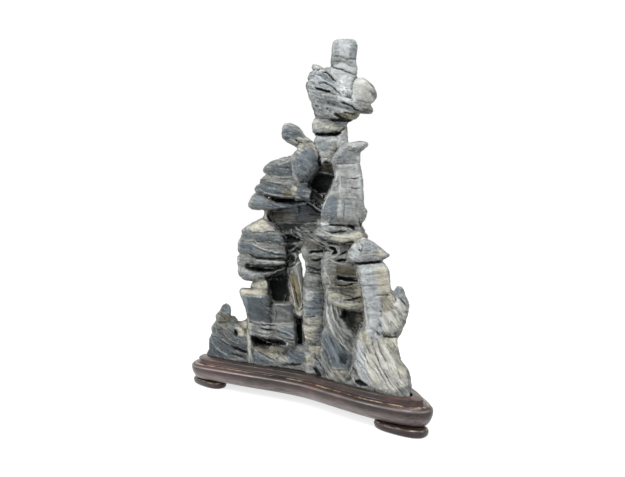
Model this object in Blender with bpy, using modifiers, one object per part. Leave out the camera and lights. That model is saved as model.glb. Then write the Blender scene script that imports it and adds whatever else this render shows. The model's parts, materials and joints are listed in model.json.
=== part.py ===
"""A scholar's rock: a tall stone of folded grey strata, seated in the carved recess of a low hardwood stand.

The stone is one solid. The stand is a leaf-shaped plank with a rounded edge, a raised lip and a recess
cut to the stone's foot, on four oval pads glued under its corners.

World frame: X runs along the stand, Y goes back, Z is up, and the pads stand on Z = 0.

The stone is drawn as a sculptor draws an elevation. Someone who stands at FACE_TURN to the stand's long
side sees "across" to the right, "up" upwards and "back" away from them, and the stone's mid-plane is the
vertical plane through the stand's long axis. Every mass of the stone is a loft of rounded sections. All
lengths below are millimetres.
"""
import math

import bpy
import bmesh
import numpy as np
from mathutils import Vector, noise

MM = 0.001

# Stand
LIP_TOP = 29.5
SEAT_FLOOR = 26.0
SEAT_GAP = 0.35
CUTTER_RISE = 5
PLAN_SEGMENTS = 64
PAD_SEGMENTS = 24
PAD_CORNER = 2.5
SMOOTH_ANGLE = math.radians(40)
WOOD_COLOUR = (0.10, 0.065, 0.06)
WOOD_ROUGHNESS = 0.38

# Stone
FACE_TURN = math.radians(38)
STATION_STEP = 2.0
FEWEST_STATIONS = 5
EASING_ROUNDS = 2
SECTION_POINTS = 52
VOXEL = 1.5
STONE_TRIANGLES = 7000
ROUGHNESS_DEPTH = 0.7
ROUGHNESS_SIZE = 9.0
STONE_COLOUR = (0.27, 0.29, 0.30)
STONE_ROUGHNESS = 0.75

# The foot fills the recess under the masses: how far it stands in from the recess's edge, goes down past
# its floor and rises over the lip.
FOOT_INSET = 2.0
FOOT_DEPTH = 3.0
FOOT_RISE = 1.5

# Half width and top of the block of space that the stone is kept within.
ROOM_HALF = 400
ROOM_TOP = 500

# Beds: how far their joints wander, over what distance, and a joint's width as a share of the layer.
BED_WANDER = 3.0
BED_WANDER_SIZE = 22
JOINT_WIDTH = 0.14

# The drawing is made about the stone. This moves the finished object to stand on the middle of its base.
CENTRE_X = 7.3
CENTRE_Y = 0.2
PAD_DROP = 1.0

# Outer edge of the raised lip, seen from above, from the front left corner round by the right end.
LIP_PLAN = [
    (-129, -31), (-118, -34.5), (-96, -33), (-62, -30), (-28, -26), (0, -23.5), (28, -24.5), (62, -30.5),
    (95, -36), (120, -38), (142, -36.5), (152, -32), (152, -24), (132, -3), (110, 13), (80, 27), (40, 36),
    (-10, 39), (-60, 36), (-98, 27), (-125, 10), (-138.5, -10), (-137, -22)]

# Outline of the recess, and so of the stone's foot.
SEAT_PLAN = [
    (-126, -19), (-112, -20), (-96, -18), (-78, -14), (-60, -17), (-44, -18), (-28, -11), (-8, -9),
    (12, -10), (34, -17), (54, -23), (75, -26), (98, -30), (120, -33), (135, -32), (141, -27), (138, -18),
    (124, -6), (102, 8), (76, 18), (40, 24), (-10, 26), (-60, 24), (-98, 16), (-120, 2), (-128, -10)]

# Edge of the stand's body: distance out from the lip's outline, and height.
BODY_PROFILE = [
    (0.4, 7.0), (2.6, 7.8), (5.4, 10.8), (7.4, 15.0), (8.3, 19.5), (7.0, 22.4), (4.0, 24.1), (0.8, 24.5),
    (0.0, 25.0), (0.0, 28.8), (-0.8, 29.5)]

# Edge of a pad: distance out from its widest line, and height.
PAD_PROFILE = [(-2.6, -1.0), (-0.8, 0.2), (0.0, 3.2), (-0.4, 5.4), (-1.8, 6.2), (-5.0, 6.7)]

# Name, centre across and back, half length, half width, and turn of each pad in degrees.
PADS = [
    ("pad_front_left", -116.5, -26, 26, 12, -10),
    ("pad_front_right", 134, -32, 26, 13, -4),
    ("pad_back_left", -92, 22, 24, 12, 22),
    ("pad_back_right", 92, 16, 24, 12, -28)]


# ---------------------------------------------------------------- tools

def smooth_closed(points, count):
    """Points evenly spaced by parameter on a closed Catmull-Rom curve."""
    knots = np.array(points, dtype=float)
    total = len(knots)
    result = []
    for position in np.linspace(0, total, count, endpoint=False):
        index = int(position)
        t = position - index
        before, start, end, after = (knots[(index + shift) % total] for shift in (-1, 0, 1, 2))
        result.append(0.5 * (2 * start + (end - before) * t
                             + (2 * before - 5 * start + 4 * end - after) * t ** 2
                             + (3 * start - before - 3 * end + after) * t ** 3))
    return np.array(result)


def offset_outline(outline, distance):
    """Moves a counter-clockwise outline outwards by a distance."""
    along = np.roll(outline, -1, axis=0) - np.roll(outline, 1, axis=0)
    along /= np.linalg.norm(along, axis=1)[:, None]
    outward = np.column_stack([along[:, 1], -along[:, 0]])
    return outline + outward * distance


def stack_rings(rings):
    """Closed loft through rings of equal count, lowest first, with flat ends."""
    count = len(rings[0])
    vertices = np.vstack(rings)
    faces = []
    for level in range(len(rings) - 1):
        low = level * count
        for i in range(count):
            j = (i + 1) % count
            faces.append((low + i, low + j, low + count + j, low + count + i))
    faces.append(tuple(range(count - 1, -1, -1)))
    top = (len(rings) - 1) * count
    faces.append(tuple(range(top, top + count)))
    return vertices, faces


def new_object(name, vertices, faces, collection):
    mesh = bpy.data.meshes.new(name)
    mesh.from_pydata([tuple(v) for v in np.asarray(vertices) * MM], [], faces)
    mesh.update()
    item = bpy.data.objects.new(name, mesh)
    collection.objects.link(item)
    return item


def evaluated_copy(item, name, collection):
    """A plain mesh object with the item's modifiers applied."""
    bpy.context.view_layer.update()
    depsgraph = bpy.context.evaluated_depsgraph_get()
    mesh = bpy.data.meshes.new_from_object(item.evaluated_get(depsgraph))
    mesh.name = name
    copy = bpy.data.objects.new(name, mesh)
    copy.matrix_world = item.matrix_world
    collection.objects.link(copy)
    return copy


def apply_modifiers(item, collection):
    name = item.name
    done = evaluated_copy(item, name + "_done", collection)
    bpy.data.objects.remove(item)
    done.name = name
    return done


def prism(name, outline, bottom, top, collection):
    rings = [np.column_stack([outline, np.full(len(outline), height)]) for height in (bottom, top)]
    vertices, faces = stack_rings(rings)
    return new_object(name, vertices, faces, collection)


def cut_with(item, cutter, operation):
    change = item.modifiers.new(operation.lower(), "BOOLEAN")
    change.operation = operation
    change.object = cutter
    change.solver = "EXACT"


def principled(name, colour, roughness):
    material = bpy.data.materials.new(name)
    material.use_nodes = True
    shader = material.node_tree.nodes["Principled BSDF"]
    shader.inputs["Base Color"].default_value = (*colour, 1.0)
    shader.inputs["Roughness"].default_value = roughness
    shader.inputs["Metallic"].default_value = 0.0
    return material


# ---------------------------------------------------------------- masses of the stone

class Mass:
    """One lofted lump of the stone.

    along is "up" for rows of (height, left, right, front, back), or "across" for rows of
    (place across, underside, top, front, back). front and back are measured from set_back behind the
    mid-plane. follow is 1 for a mass that runs on along the stand, and 0 for one that stands square to
    the face. corner is the section's squareness, 2 being an ellipse. dip is how steeply its beds fall to
    the right, in degrees, layer is their thickness and relief how far their ledges stand out.
    """

    def __init__(self, along, rows, set_back=0, follow=0, corner=2.6, dip=10, layer=6, relief=0.5):
        self.along = along
        self.rows = np.array(rows, dtype=float)
        self.set_back = set_back
        self.follow = follow
        self.corner = corner
        self.dip = math.radians(dip)
        self.layer = layer
        self.relief = relief

    def stations(self):
        """Rows filled in at an even step, eased so that the outline has no kinks."""
        places = self.rows[:, 0]
        count = max(FEWEST_STATIONS, int(round((places[-1] - places[0]) / STATION_STEP)) + 1)
        stops = np.linspace(places[0], places[-1], count)
        filled = np.column_stack([np.interp(stops, places, column) for column in self.rows.T])
        for _ in range(EASING_ROUNDS):
            middle = filled[1:-1, 1:]
            filled[1:-1, 1:] = 0.5 * middle + 0.25 * (filled[:-2, 1:] + filled[2:, 1:])
        return filled

    def bed_depth(self, across, up):
        """How far the ledged surface lies inside the smooth one."""
        places = np.column_stack([across, up]) / BED_WANDER_SIZE
        wander = np.array([noise.noise(Vector((place[0], place[1], self.layer))) for place in places])
        height = up * math.cos(self.dip) + across * math.sin(self.dip) + BED_WANDER * wander
        index = np.floor(height / self.layer)
        part = height / self.layer - index
        joint = np.exp(-(part / JOINT_WIDTH) ** 2) + np.exp(-((1 - part) / JOINT_WIDTH) ** 2)
        return self.relief * (0.9 * chance(index, self.layer) + 0.9 * joint + 0.3 * part - 0.6)

    def loft(self):
        """World vertices in millimetres, and faces."""
        filled = self.stations()
        angles = np.linspace(0, 2 * math.pi, SECTION_POINTS, endpoint=False)
        power = 2 / self.corner
        wide = np.sign(np.cos(angles)) * np.abs(np.cos(angles)) ** power
        deep = np.sign(np.sin(angles)) * np.abs(np.sin(angles)) ** power
        rings = []
        middle_across = self.middle_across()
        for place, low, high, front, back in filled:
            reach_side = (high - low) / 2 * wide
            reach_deep = (back - front) / 2 * deep
            line = np.full(SECTION_POINTS, place)
            side = (low + high) / 2 + reach_side
            across, up = (side, line) if self.along == "up" else (line, side)
            shrink = self.bed_depth(across, up)
            side = (low + high) / 2 + pulled_in(reach_side, shrink)
            behind = (front + back) / 2 + pulled_in(reach_deep, shrink)
            across, up = (side, line) if self.along == "up" else (line, side)
            rings.append(face_to_world(across, behind + self.set_back, up, self.follow, middle_across))
        vertices, faces = stack_rings(rings)
        if self.along == "up":
            faces = [face[::-1] for face in faces]
        return vertices, [face[::-1] for face in faces]

    def middle_across(self):
        if self.along == "up":
            return float(np.mean(self.rows[:, 1:3]))
        return float((self.rows[0, 0] + self.rows[-1, 0]) / 2)


def chance(index, seed):
    """A chance number from 0 to 1 for each layer."""
    return np.mod(np.sin(index * 12.9898 + seed) * 43758.5453, 1.0)


def pulled_in(reach, shrink):
    """A reach from the section's middle made shorter, but never less than a part of itself."""
    kept = 0.15
    return np.sign(reach) * np.maximum(np.abs(reach) - shrink, kept * np.abs(reach))


def face_to_world(across, behind, up, follow, middle_across):
    """Puts face measures into the world. behind is measured from the stone's mid-plane."""
    turn = math.tan(FACE_TURN)
    sight = behind - turn * (follow * across + (1 - follow) * middle_across)
    x = across * math.cos(FACE_TURN) - sight * math.sin(FACE_TURN)
    y = across * math.sin(FACE_TURN) + sight * math.cos(FACE_TURN)
    return np.column_stack([x, y, np.broadcast_to(up, np.shape(x))])


def head_masses():
    """The cap of the stone: a square chimney, four ledges to the left, a knob and two spurs to the right."""
    return [
        Mass("up", [(322, 31, 50, -10, 10), (329, 28, 53, -12, 12), (335, 28, 54, -13, 13),
                    (342, 27, 52, -12, 12), (350, 28, 53, -13, 13), (357, 28, 54, -13, 13),
                    (362, 28, 53, -12, 12), (364.5, 31, 51, -9, 9)], corner=4.0, dip=6, layer=9, relief=0.3),
        Mass("across", [(8, 341, 344, -3, 3), (11, 337, 345, -8, 7), (20, 331, 340, -11, 9),
                        (34, 320, 334, -14, 11)], dip=27, layer=5),
        Mass("across", [(4, 329, 332, -4, 4), (6, 325, 337, -11, 9), (12, 324, 338, -15, 13),
                        (22, 320, 334, -17, 14), (38, 312, 328, -16, 12)], dip=20, layer=5),
        Mass("across", [(2, 320, 325, -7, 5), (5, 316, 327, -13, 10), (12, 313, 326, -16, 14),
                        (24, 308, 322, -18, 15), (42, 300, 314, -17, 12)], dip=20, layer=4),
        Mass("up", [(283, 18, 40, -10, 10), (290, 11, 49, -14, 12), (298, 9, 58, -18, 15),
                    (308, 6, 66, -20, 16), (316, 3, 66, -19, 15), (323, 4, 60, -17, 14),
                    (330, 9, 51, -15, 13), (337, 18, 49, -13, 12)],
             corner=3.2, dip=24, layer=7, relief=0.6),
        Mass("up", [(298, 44, 66, -12, 12), (303, 42, 72, -14, 14), (309, 40, 71, -15, 14),
                    (315, 40, 66, -16, 14), (320, 40, 61, -14, 12), (324, 42, 54, -9, 8)],
             set_back=-2, corner=2.6, dip=24, layer=8, relief=0.4),
        Mass("across", [(18, 302, 309, -16, 12), (34, 297, 307, -19, 13), (48, 294, 303, -20, 14),
                        (60, 296, 301, -15, 12), (69, 296, 300, -8, 7)], dip=20, layer=4),
        Mass("across", [(20, 288, 300, -14, 12), (34, 281, 299, -18, 13), (44, 282, 295, -18, 12),
                        (51, 286, 294, -12, 9), (56, 289, 293, -6, 6)], dip=22, layer=4)]


def neck_masses():
    """The narrow neck: a boulder balanced on a wedge, with a thin column behind both."""
    return [
        Mass("up", [(258, 14, 38, -4, 8), (270, 15, 38, -5, 8), (284, 14, 38, -5, 8)],
             set_back=3, corner=2.8, dip=0, layer=6),
        Mass("up", [(270, 13, 37, -11, 11), (275, 9, 40, -14, 13), (281, 8, 41, -15, 14),
                    (287, 9, 42, -14, 13), (292, 14, 38, -10, 10)], corner=2.4, dip=-4, layer=8),
        Mass("up", [(250, 33, 47, -10, 10), (266, 32, 45, -9, 8), (278, 34, 44, -9, 8),
                    (290, 35, 43, -8, 8)], set_back=6, corner=2.4, dip=0, layer=9),
        Mass("up", [(242, 18, 32, -10, 11), (251, 16, 33, -10, 10), (258, 13, 37, -13, 12),
                    (264, 10, 38, -14, 12), (268, 10, 38, -13, 12), (271, 14, 36, -9, 8)],
             dip=-4, layer=9, relief=0.5)]


def tower_masses():
    """The pale upright block on the right, with its arm, its hip and the folded collar it stands on."""
    return [
        Mass("across", [(34, 244, 250, -7, 8), (40, 246, 258, -9, 9), (47, 247, 262, -11, 10),
                        (56, 251, 263, -8, 8), (64, 258, 262, -4, 4)], dip=0, layer=9, relief=0.4),
        Mass("up", [(180, 30, 55, -15, 14), (185, 21, 57, -19, 17), (192, 17, 58, -21, 18),
                    (200, 19, 60, -20, 18), (210, 24, 59, -19, 17), (221, 30, 59, -18, 16),
                    (230, 31, 58, -16, 16), (238, 29, 56, -16, 15), (246, 27, 57, -16, 15),
                    (254, 34, 55, -12, 11), (262, 40, 46, -6, 6)],
             set_back=-3, corner=3.6, dip=0, layer=12, relief=0.25),
        Mass("up", [(180, 50, 57, -6, 6), (186, 50, 61, -9, 9), (192, 50, 64, -10, 9),
                    (198, 50, 61, -8, 8), (206, 50, 58, -6, 6)], set_back=4, corner=2.6, dip=0, layer=7),
        Mass("across", [(14, 177, 183, -9, 8), (19, 174, 186, -16, 14), (32, 171, 180, -20, 17),
                        (48, 169, 179, -20, 17), (57, 168, 182, -15, 14), (61, 170, 176, -7, 8)],
             set_back=-3, dip=8, layer=5, relief=0.6),
        Mass("across", [(12, 169, 175, -9, 9), (20, 164, 176, -18, 16), (36, 161, 172, -23, 18),
                        (52, 161, 174, -21, 17), (60, 164, 174, -12, 12), (64, 166, 171, -6, 6)],
             set_back=-3, dip=8, layer=5, relief=0.6),
        Mass("across", [(-12, 171, 176, -5, 8), (0, 165, 173, -10, 13), (14, 160, 171, -15, 17),
                        (30, 156, 168, -18, 18), (46, 153, 163, -18, 18), (55, 152, 162, -13, 14)],
             dip=14, layer=5, relief=0.55)]


def roof_masses():
    """The eaves on the left, the horn above them, and the dark cleft between them and the tower."""
    return [
        Mass("across", [(-46, 239, 243, -6, 6), (-41, 236, 248, -14, 13), (-33, 232, 251, -20, 18),
                        (-22, 229, 253, -22, 20), (-12, 228, 254, -20, 20), (2, 228, 254, -14, 18)],
             set_back=-2, follow=1, dip=12, layer=6, relief=0.65),
        Mass("across", [(-49, 226, 231, -8, 8), (-42, 222, 236, -18, 16), (-30, 219, 235, -22, 20),
                        (-14, 215, 234, -21, 20), (-2, 212, 232, -16, 18)],
             set_back=-2, follow=1, dip=14, layer=5, relief=0.65),
        Mass("across", [(-56, 218, 222, -7, 7), (-52, 215, 226, -14, 13), (-44, 212, 227, -20, 18),
                        (-32, 210, 225, -23, 20), (-18, 209, 223, -22, 20), (-2, 208, 221, -20, 18),
                        (10, 204, 216, -16, 16), (20, 196, 208, -10, 12)],
             set_back=-3, follow=1, dip=14, layer=5, relief=0.65),
        Mass("up", [(207, -9, 6, -12, 16), (216, -11, 5, -13, 16), (225, -9, 8, -14, 16),
                    (231, -12, 14, -19, 16), (240, -14, 17, -20, 16), (250, -14, 17, -18, 16),
                    (258, -9, 16, -15, 14), (265, -2, 13, -11, 11)],
             set_back=-3, corner=3.4, dip=30, layer=11, relief=0.6),
        Mass("up", [(196, -40, 34, -3, 14), (206, -42, 36, -2, 16), (220, -38, 37, -2, 16),
                    (234, -32, 37, -3, 16), (248, -22, 36, -5, 14), (260, -4, 24, -8, 10)],
             set_back=12, follow=1, corner=3.2, dip=8, layer=8),
        Mass("up", [(250, -4, 18, -13, 12), (258, -4, 17, -12, 12), (264, -10, 16, -11, 10),
                    (268, -19, 12, -10, 9), (272, -24, 3, -10, 9), (279, -24, -1, -10, 9),
                    (285, -23, -6, -8, 8), (288, -21, -12, -4, 4)], corner=2.4, dip=12, layer=9),
        Mass("across", [(-63, 200, 206, -7, 7), (-60, 198, 213, -14, 13), (-54, 197, 217, -18, 15),
                        (-45, 197, 213, -18, 17), (-34, 196, 208, -14, 17), (-20, 194, 204, -7, 18),
                        (-6, 190, 203, -2, 18)],
             set_back=-3, follow=1, corner=2.5, dip=8, layer=7),
        Mass("up", [(150, -10, 26, -5, 14), (158, -16, 26, -5, 16), (170, -28, 24, -8, 18),
                    (182, -38, 24, -10, 18), (192, -41, 26, -10, 18), (202, -38, 30, -9, 18),
                    (212, -36, 32, -8, 16)],
             set_back=8, follow=1, corner=3.0, dip=2, layer=5, relief=0.7),
        Mass("up", [(176, -54, -36, -10, 14), (186, -48, -38, -8, 12), (192, -45, -38, -7, 10),
                    (200, -45, -38, -6, 8)], set_back=2, follow=1, corner=2.3, dip=0, layer=8, relief=0.4)]


def bun_masses():
    """The round of folded beds on the left, the knob under it and the twist that ties it to the stone."""
    return [
        Mass("across", [(-71, 170, 176, -9, 9), (-65, 164, 180, -18, 16), (-56, 161, 185, -24, 19),
                        (-46, 159, 189, -25, 20), (-34, 158, 182, -25, 20), (-24, 156, 173, -20, 18),
                        (-18, 155, 163, -9, 12)],
             set_back=-2, follow=1, corner=2.5, dip=6, layer=6, relief=0.7),
        Mass("across", [(-76, 150, 162, -8, 8), (-71, 146, 170, -18, 16), (-58, 143, 167, -25, 20),
                        (-43, 142, 163, -26, 21), (-29, 142, 161, -23, 20), (-19, 144, 158, -13, 15)],
             set_back=-4, follow=1, dip=8, layer=6, relief=0.7),
        Mass("across", [(-77, 136, 145, -8, 8), (-72, 132, 150, -17, 15), (-62, 134, 148, -22, 20),
                        (-45, 135, 144, -23, 20), (-28, 135, 144, -20, 19), (-20, 137, 143, -12, 14)],
             set_back=-3, follow=1, dip=4, layer=5, relief=0.65),
        Mass("across", [(-76, 124, 136, -8, 8), (-72, 120, 137, -14, 13), (-66, 118, 134, -17, 16),
                        (-56, 118, 130, -16, 16), (-46, 119, 130, -12, 15), (-34, 124, 135, -8, 15),
                        (-20, 130, 140, -5, 12)],
             set_back=-2, follow=1, dip=-4, layer=6, relief=0.55),
        Mass("up", [(124, -24, -4, -4, 7), (132, -26, -3, -6, 9), (142, -26, -4, -7, 10),
                    (152, -24, -7, -7, 11), (164, -20, 2, -6, 13)],
             set_back=5, follow=1, corner=2.4, dip=-50, layer=5, relief=0.55),
        Mass("up", [(122, -70, -26, -6, 10), (134, -73, -22, -8, 12), (150, -72, -18, -10, 12),
                    (166, -66, -20, -8, 12), (176, -56, -28, -6, 10)],
             set_back=3, follow=1, corner=3.0, dip=0, layer=6),
        Mass("across", [(-61, 110, 114, -4, 4), (-55, 108, 118, -8, 8), (-47, 107, 121, -9, 9),
                        (-40, 106, 123, -9, 10)], set_back=-2, follow=1, corner=2.3, dip=0, layer=5)]


def left_masses():
    """The lower left: a smooth block, the step beside it, the shelf over a hollow, and the outer peak."""
    return [
        Mass("up", [(60, -62, -34, -20, 16), (70, -63, -35, -20, 15), (80, -64, -36, -20, 15),
                    (90, -67, -36, -20, 15), (99, -71, -37, -18, 15), (105, -75, -40, -15, 14),
                    (109, -73, -46, -9, 9)],
             set_back=-5, follow=1, corner=4.0, dip=14, layer=14, relief=0.25),
        Mass("up", [(62, -38, -8, -16, 16), (72, -38, -9, -16, 16), (82, -38, -10, -16, 16),
                    (92, -36, -12, -13, 14), (96, -33, -15, -8, 11)],
             set_back=-5, follow=1, corner=4.0, dip=12, layer=10, relief=0.3),
        Mass("across", [(-62, 64, 75, -14, 14), (-54, 59, 74, -20, 16), (-42, 55, 71, -22, 16),
                        (-28, 52, 69, -22, 16), (-16, 51, 66, -18, 15), (-9, 53, 62, -10, 12)],
             set_back=-6, follow=1, dip=20, layer=5, relief=0.6),
        Mass("up", [(24, -66, 6, -8, 20), (44, -65, 4, -8, 18), (60, -63, 2, -8, 14), (74, -63, 0, -8, 12)],
             set_back=8, follow=1, corner=3.0, dip=8, layer=8),
        Mass("across", [(-61, 24, 48, -18, 14), (-50, 24, 46, -20, 16), (-38, 22, 42, -18, 16),
                        (-22, 22, 42, -14, 16), (-4, 22, 44, -12, 16)],
             set_back=-3, follow=1, corner=2.4, dip=28, layer=6),
        Mass("up", [(24, -65, -50, -20, 18), (36, -65, -53, -20, 16), (47, -65, -56, -19, 14),
                    (58, -65, -57, -16, 12), (70, -64, -59, -10, 10), (82, -66, -60, -5, 8)],
             set_back=-5, follow=1, corner=2.3, dip=60, layer=7, relief=0.5),
        Mass("up", [(70, -62, 2, -5, 12), (86, -58, 1, -5, 12), (100, -50, -8, -5, 12),
                    (112, -48, -12, -5, 12), (126, -48, -14, -5, 12), (142, -48, -12, -5, 12),
                    (154, -41, -10, -5, 12)],
             set_back=11, follow=1, corner=3.0, dip=6, layer=7),
        Mass("up", [(84, -9, 3, -8, 6), (90, -10, 2, -7, 6), (98, -12, 1, -6, 5), (110, -14, 0, -6, 4),
                    (124, -16, 0, -5, 4), (134, -17, -1, -5, 4), (142, -16, -3, -4, 4)],
             set_back=-1, corner=2.3, dip=76, layer=6, relief=0.4),
        Mass("across", [(-86, 40, 68, -10, 10), (-76, 40, 70, -11, 11), (-67, 40, 73, -10, 11),
                        (-61, 40, 79, -8, 10)], set_back=-3, follow=1, dip=20, layer=7),
        Mass("up", [(26, -116, -60, -9, 10), (33, -114, -60, -9, 10), (38, -112, -61, -9, 10),
                    (46, -111, -62, -9, 9), (52, -109, -63, -9, 9), (56, -105, -64, -8, 8),
                    (61, -108, -65, -9, 8), (67, -107, -70, -8, 8), (70, -101, -76, -7, 7),
                    (76, -105, -83, -7, 6), (80, -101, -84, -6, 6), (83, -96, -83, -5, 5),
                    (86, -97, -83, -6, 6), (89, -95, -84, -5, 5), (93, -92, -86, -3, 3)],
             set_back=-18, follow=1, dip=22, layer=7, relief=0.6),
        Mass("up", [(24, -105, -60, -16, 16), (40, -104, -60, -15, 14), (52, -102, -62, -14, 12),
                    (62, -100, -66, -12, 9), (70, -98, -76, -9, 6), (76, -95, -80, -5, 3)],
             set_back=-4, follow=1, dip=18, layer=8, relief=0.8)]


def centre_masses():
    """The upright leaves in the middle: a smooth column, a ribbed one, and a shell-shaped blade."""
    return [
        Mass("up", [(22, 1, 29, -18, 18), (50, 0, 27, -16, 17), (72, -1, 25, -15, 16), (100, -1, 23, -15, 15),
                    (116, -1, 22, -14, 14), (122, -1, 22, -14, 14), (127, 0, 23, -13, 13),
                    (134, 2, 24, -12, 14), (142, 1, 26, -13, 15), (148, -2, 28, -13, 16),
                    (154, -4, 30, -12, 16), (166, 2, 32, -10, 16)],
             corner=2.9, dip=4, layer=8, relief=0.5),
        Mass("across", [(-20, 22, 42, -10, 6), (-12, 22, 54, -14, 10), (-2, 22, 55, -16, 12),
                        (10, 22, 51, -20, 12), (20, 22, 46, -22, 8)],
             follow=1, corner=2.4, dip=26, layer=7),
        Mass("up", [(22, 18, 72, -16, 22), (60, 20, 68, -12, 20), (85, 20, 66, -12, 18),
                    (105, 21, 62, -12, 18), (125, 18, 58, -12, 17), (140, 18, 55, -12, 16),
                    (150, 20, 54, -11, 15), (160, 22, 54, -10, 14)],
             set_back=2, corner=3.0, dip=6, layer=8, relief=0.6),
        Mass("up", [(40, 30, 84, -8, 10), (80, 34, 82, -8, 10), (120, 34, 76, -8, 10),
                    (150, 30, 66, -8, 9), (162, 30, 58, -6, 7)],
             set_back=6, follow=1, corner=3.0, dip=6, layer=9),
        Mass("up", [(80, 19, 29, -7, 10), (104, 21, 29, -8, 10), (122, 20, 29, -8, 10),
                    (140, 17, 25, -7, 9), (148, 18, 24, -4, 6)],
             set_back=-9, corner=2.3, dip=50, layer=6, relief=0.5),
        Mass("across", [(24, 102, 114, -6, 10), (34, 100, 114, -9, 12), (46, 96, 108, -10, 12),
                        (54, 96, 107, -9, 12), (61, 98, 106, -6, 10)],
             set_back=-8, dip=8, layer=6, relief=0.6),
        Mass("up", [(24, 22, 62, -16, 18), (33, 22, 62, -17, 16), (42, 18, 61, -18, 16),
                    (55, 16, 60, -18, 16), (70, 18, 55, -15, 14), (82, 21, 47, -14, 13),
                    (93, 22, 42, -12, 12), (101, 23, 35, -9, 9), (106, 25, 30, -5, 6)],
             set_back=-11, corner=2.5, dip=56, layer=6, relief=0.65)]


def right_masses():
    """The right side: a pointed cap, the banded column under it, the thumb, and the draped flank."""
    return [
        Mass("across", [(43, 146, 154, -8, 8), (49, 142, 164, -16, 14), (57, 141, 169, -20, 17),
                        (67, 142, 164, -20, 17), (75, 145, 158, -15, 14), (80, 148, 154, -7, 7),
                        (83, 150, 152, -3, 3)], set_back=-6, corner=2.5, dip=12, layer=7),
        Mass("up", [(56, 55, 88, -16, 17), (70, 56, 89, -18, 17), (90, 58, 88, -19, 17),
                    (108, 57, 86, -19, 17), (120, 55, 83, -19, 17), (132, 53, 82, -19, 17),
                    (139, 51, 81, -17, 16), (144, 51, 77, -12, 12)],
             set_back=-6, corner=3.4, dip=-4, layer=7, relief=0.4),
        Mass("up", [(76, 72, 90, -13, 12), (83, 71, 93, -16, 14), (92, 71, 96, -17, 15),
                    (100, 72, 99, -17, 15), (107, 73, 99, -16, 14), (113, 76, 96, -13, 11),
                    (118, 80, 94, -8, 8)], set_back=-6, corner=2.6, dip=50, layer=7, relief=0.6),
        Mass("up", [(108, 84, 95, -8, 8), (116, 84, 95, -8, 8), (120, 85, 94, -6, 6),
                    (123, 87, 91, -3, 3)], set_back=-6, corner=2.3, layer=9, relief=0.2),
        Mass("up", [(22, 58, 96, -28, 22), (32, 54, 97, -28, 22), (40, 48, 97, -27, 22),
                    (48, 46, 97, -26, 21), (56, 46, 90, -22, 20), (66, 48, 88, -20, 19),
                    (76, 52, 87, -16, 17), (84, 55, 86, -12, 14)],
             set_back=-12, follow=1, dip=54, layer=7, relief=0.7),
        Mass("up", [(29, 92, 97, -4, 6), (33, 88, 99, -8, 9), (40, 87, 98, -8, 10),
                    (48, 87, 94, -4, 6)], set_back=-16, corner=2.2, layer=9, relief=0.2),
        Mass("across", [(46, 22, 42, -8, 10), (56, 22, 41, -12, 12), (68, 22, 38, -14, 13),
                        (82, 22, 34, -14, 13), (94, 22, 29, -8, 10)],
             set_back=-24, follow=1, dip=50, layer=5, relief=0.55)]


# ---------------------------------------------------------------- pieces

def join_masses(masses, collection):
    """All masses in one mesh object, still overlapping."""
    vertices, faces, start = [], [], 0
    for mass in masses:
        points, polygons = mass.loft()
        vertices.append(points)
        faces.extend(tuple(start + index for index in polygon) for polygon in polygons)
        start += len(points)
    return new_object("stone", np.vstack(vertices), faces, collection)


def keep_outer_shell(item):
    """Removes every loose part but the largest, so no closed hollow is left inside."""
    shape = bmesh.new()
    shape.from_mesh(item.data)
    unseen = set(shape.verts)
    parts = []
    while unseen:
        front = [unseen.pop()]
        part = set(front)
        while front:
            vertex = front.pop()
            for edge in vertex.link_edges:
                other = edge.other_vert(vertex)
                if other in unseen:
                    unseen.remove(other)
                    part.add(other)
                    front.append(other)
        parts.append(part)
    parts.sort(key=len)
    spare = [vertex for part in parts[:-1] for vertex in part]
    bmesh.ops.delete(shape, geom=spare, context="VERTS")
    shape.to_mesh(item.data)
    shape.free()


def roughen(item):
    """Weathering: a shallow uneven surface all over."""
    mesh = item.data
    count = len(mesh.vertices)
    places = np.empty(count * 3)
    normals = np.empty(count * 3)
    mesh.vertices.foreach_get("co", places)
    mesh.vertex_normals.foreach_get("vector", normals)
    places, normals = places.reshape(-1, 3), normals.reshape(-1, 3)
    size = ROUGHNESS_SIZE * MM
    rise = np.array([noise.fractal(Vector(place / size), 0.8, 2.1, 3) for place in places])
    places += normals * (rise * ROUGHNESS_DEPTH * MM)[:, None]
    mesh.vertices.foreach_set("co", places.ravel())
    mesh.update()


def build_stone(parts, guides):
    masses = (head_masses() + neck_masses() + tower_masses() + roof_masses() + bun_masses()
              + left_masses() + centre_masses() + right_masses())
    stone = join_masses(masses, parts)
    seat = smooth_closed(SEAT_PLAN, PLAN_SEGMENTS)
    foot_edge = offset_outline(seat, -FOOT_INSET)
    foot = prism("foot", foot_edge, SEAT_FLOOR - FOOT_DEPTH, LIP_TOP + FOOT_RISE, parts)
    shape = bmesh.new()
    shape.from_mesh(stone.data)
    shape.from_mesh(foot.data)
    shape.to_mesh(stone.data)
    shape.free()
    bpy.data.objects.remove(foot)

    remesh = stone.modifiers.new("fuse", "REMESH")
    remesh.mode = "VOXEL"
    remesh.voxel_size = VOXEL * MM
    stone = apply_modifiers(stone, parts)
    keep_outer_shell(stone)
    roughen(stone)
    thin = stone.modifiers.new("facet", "DECIMATE")
    thin.ratio = STONE_TRIANGLES / (2 * len(stone.data.polygons))
    stone = apply_modifiers(stone, parts)

    inner = offset_outline(seat, -SEAT_GAP)
    seat_part = prism("seat_part", inner, SEAT_FLOOR + SEAT_GAP, LIP_TOP + CUTTER_RISE, guides)
    square = ROOM_HALF * np.array([(-1, -1), (1, -1), (1, 1), (-1, 1)])
    room = prism("room", square, LIP_TOP + SEAT_GAP, ROOM_TOP, guides)
    cut_with(room, seat_part, "UNION")
    cut_with(stone, room, "INTERSECT")
    return stone


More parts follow.
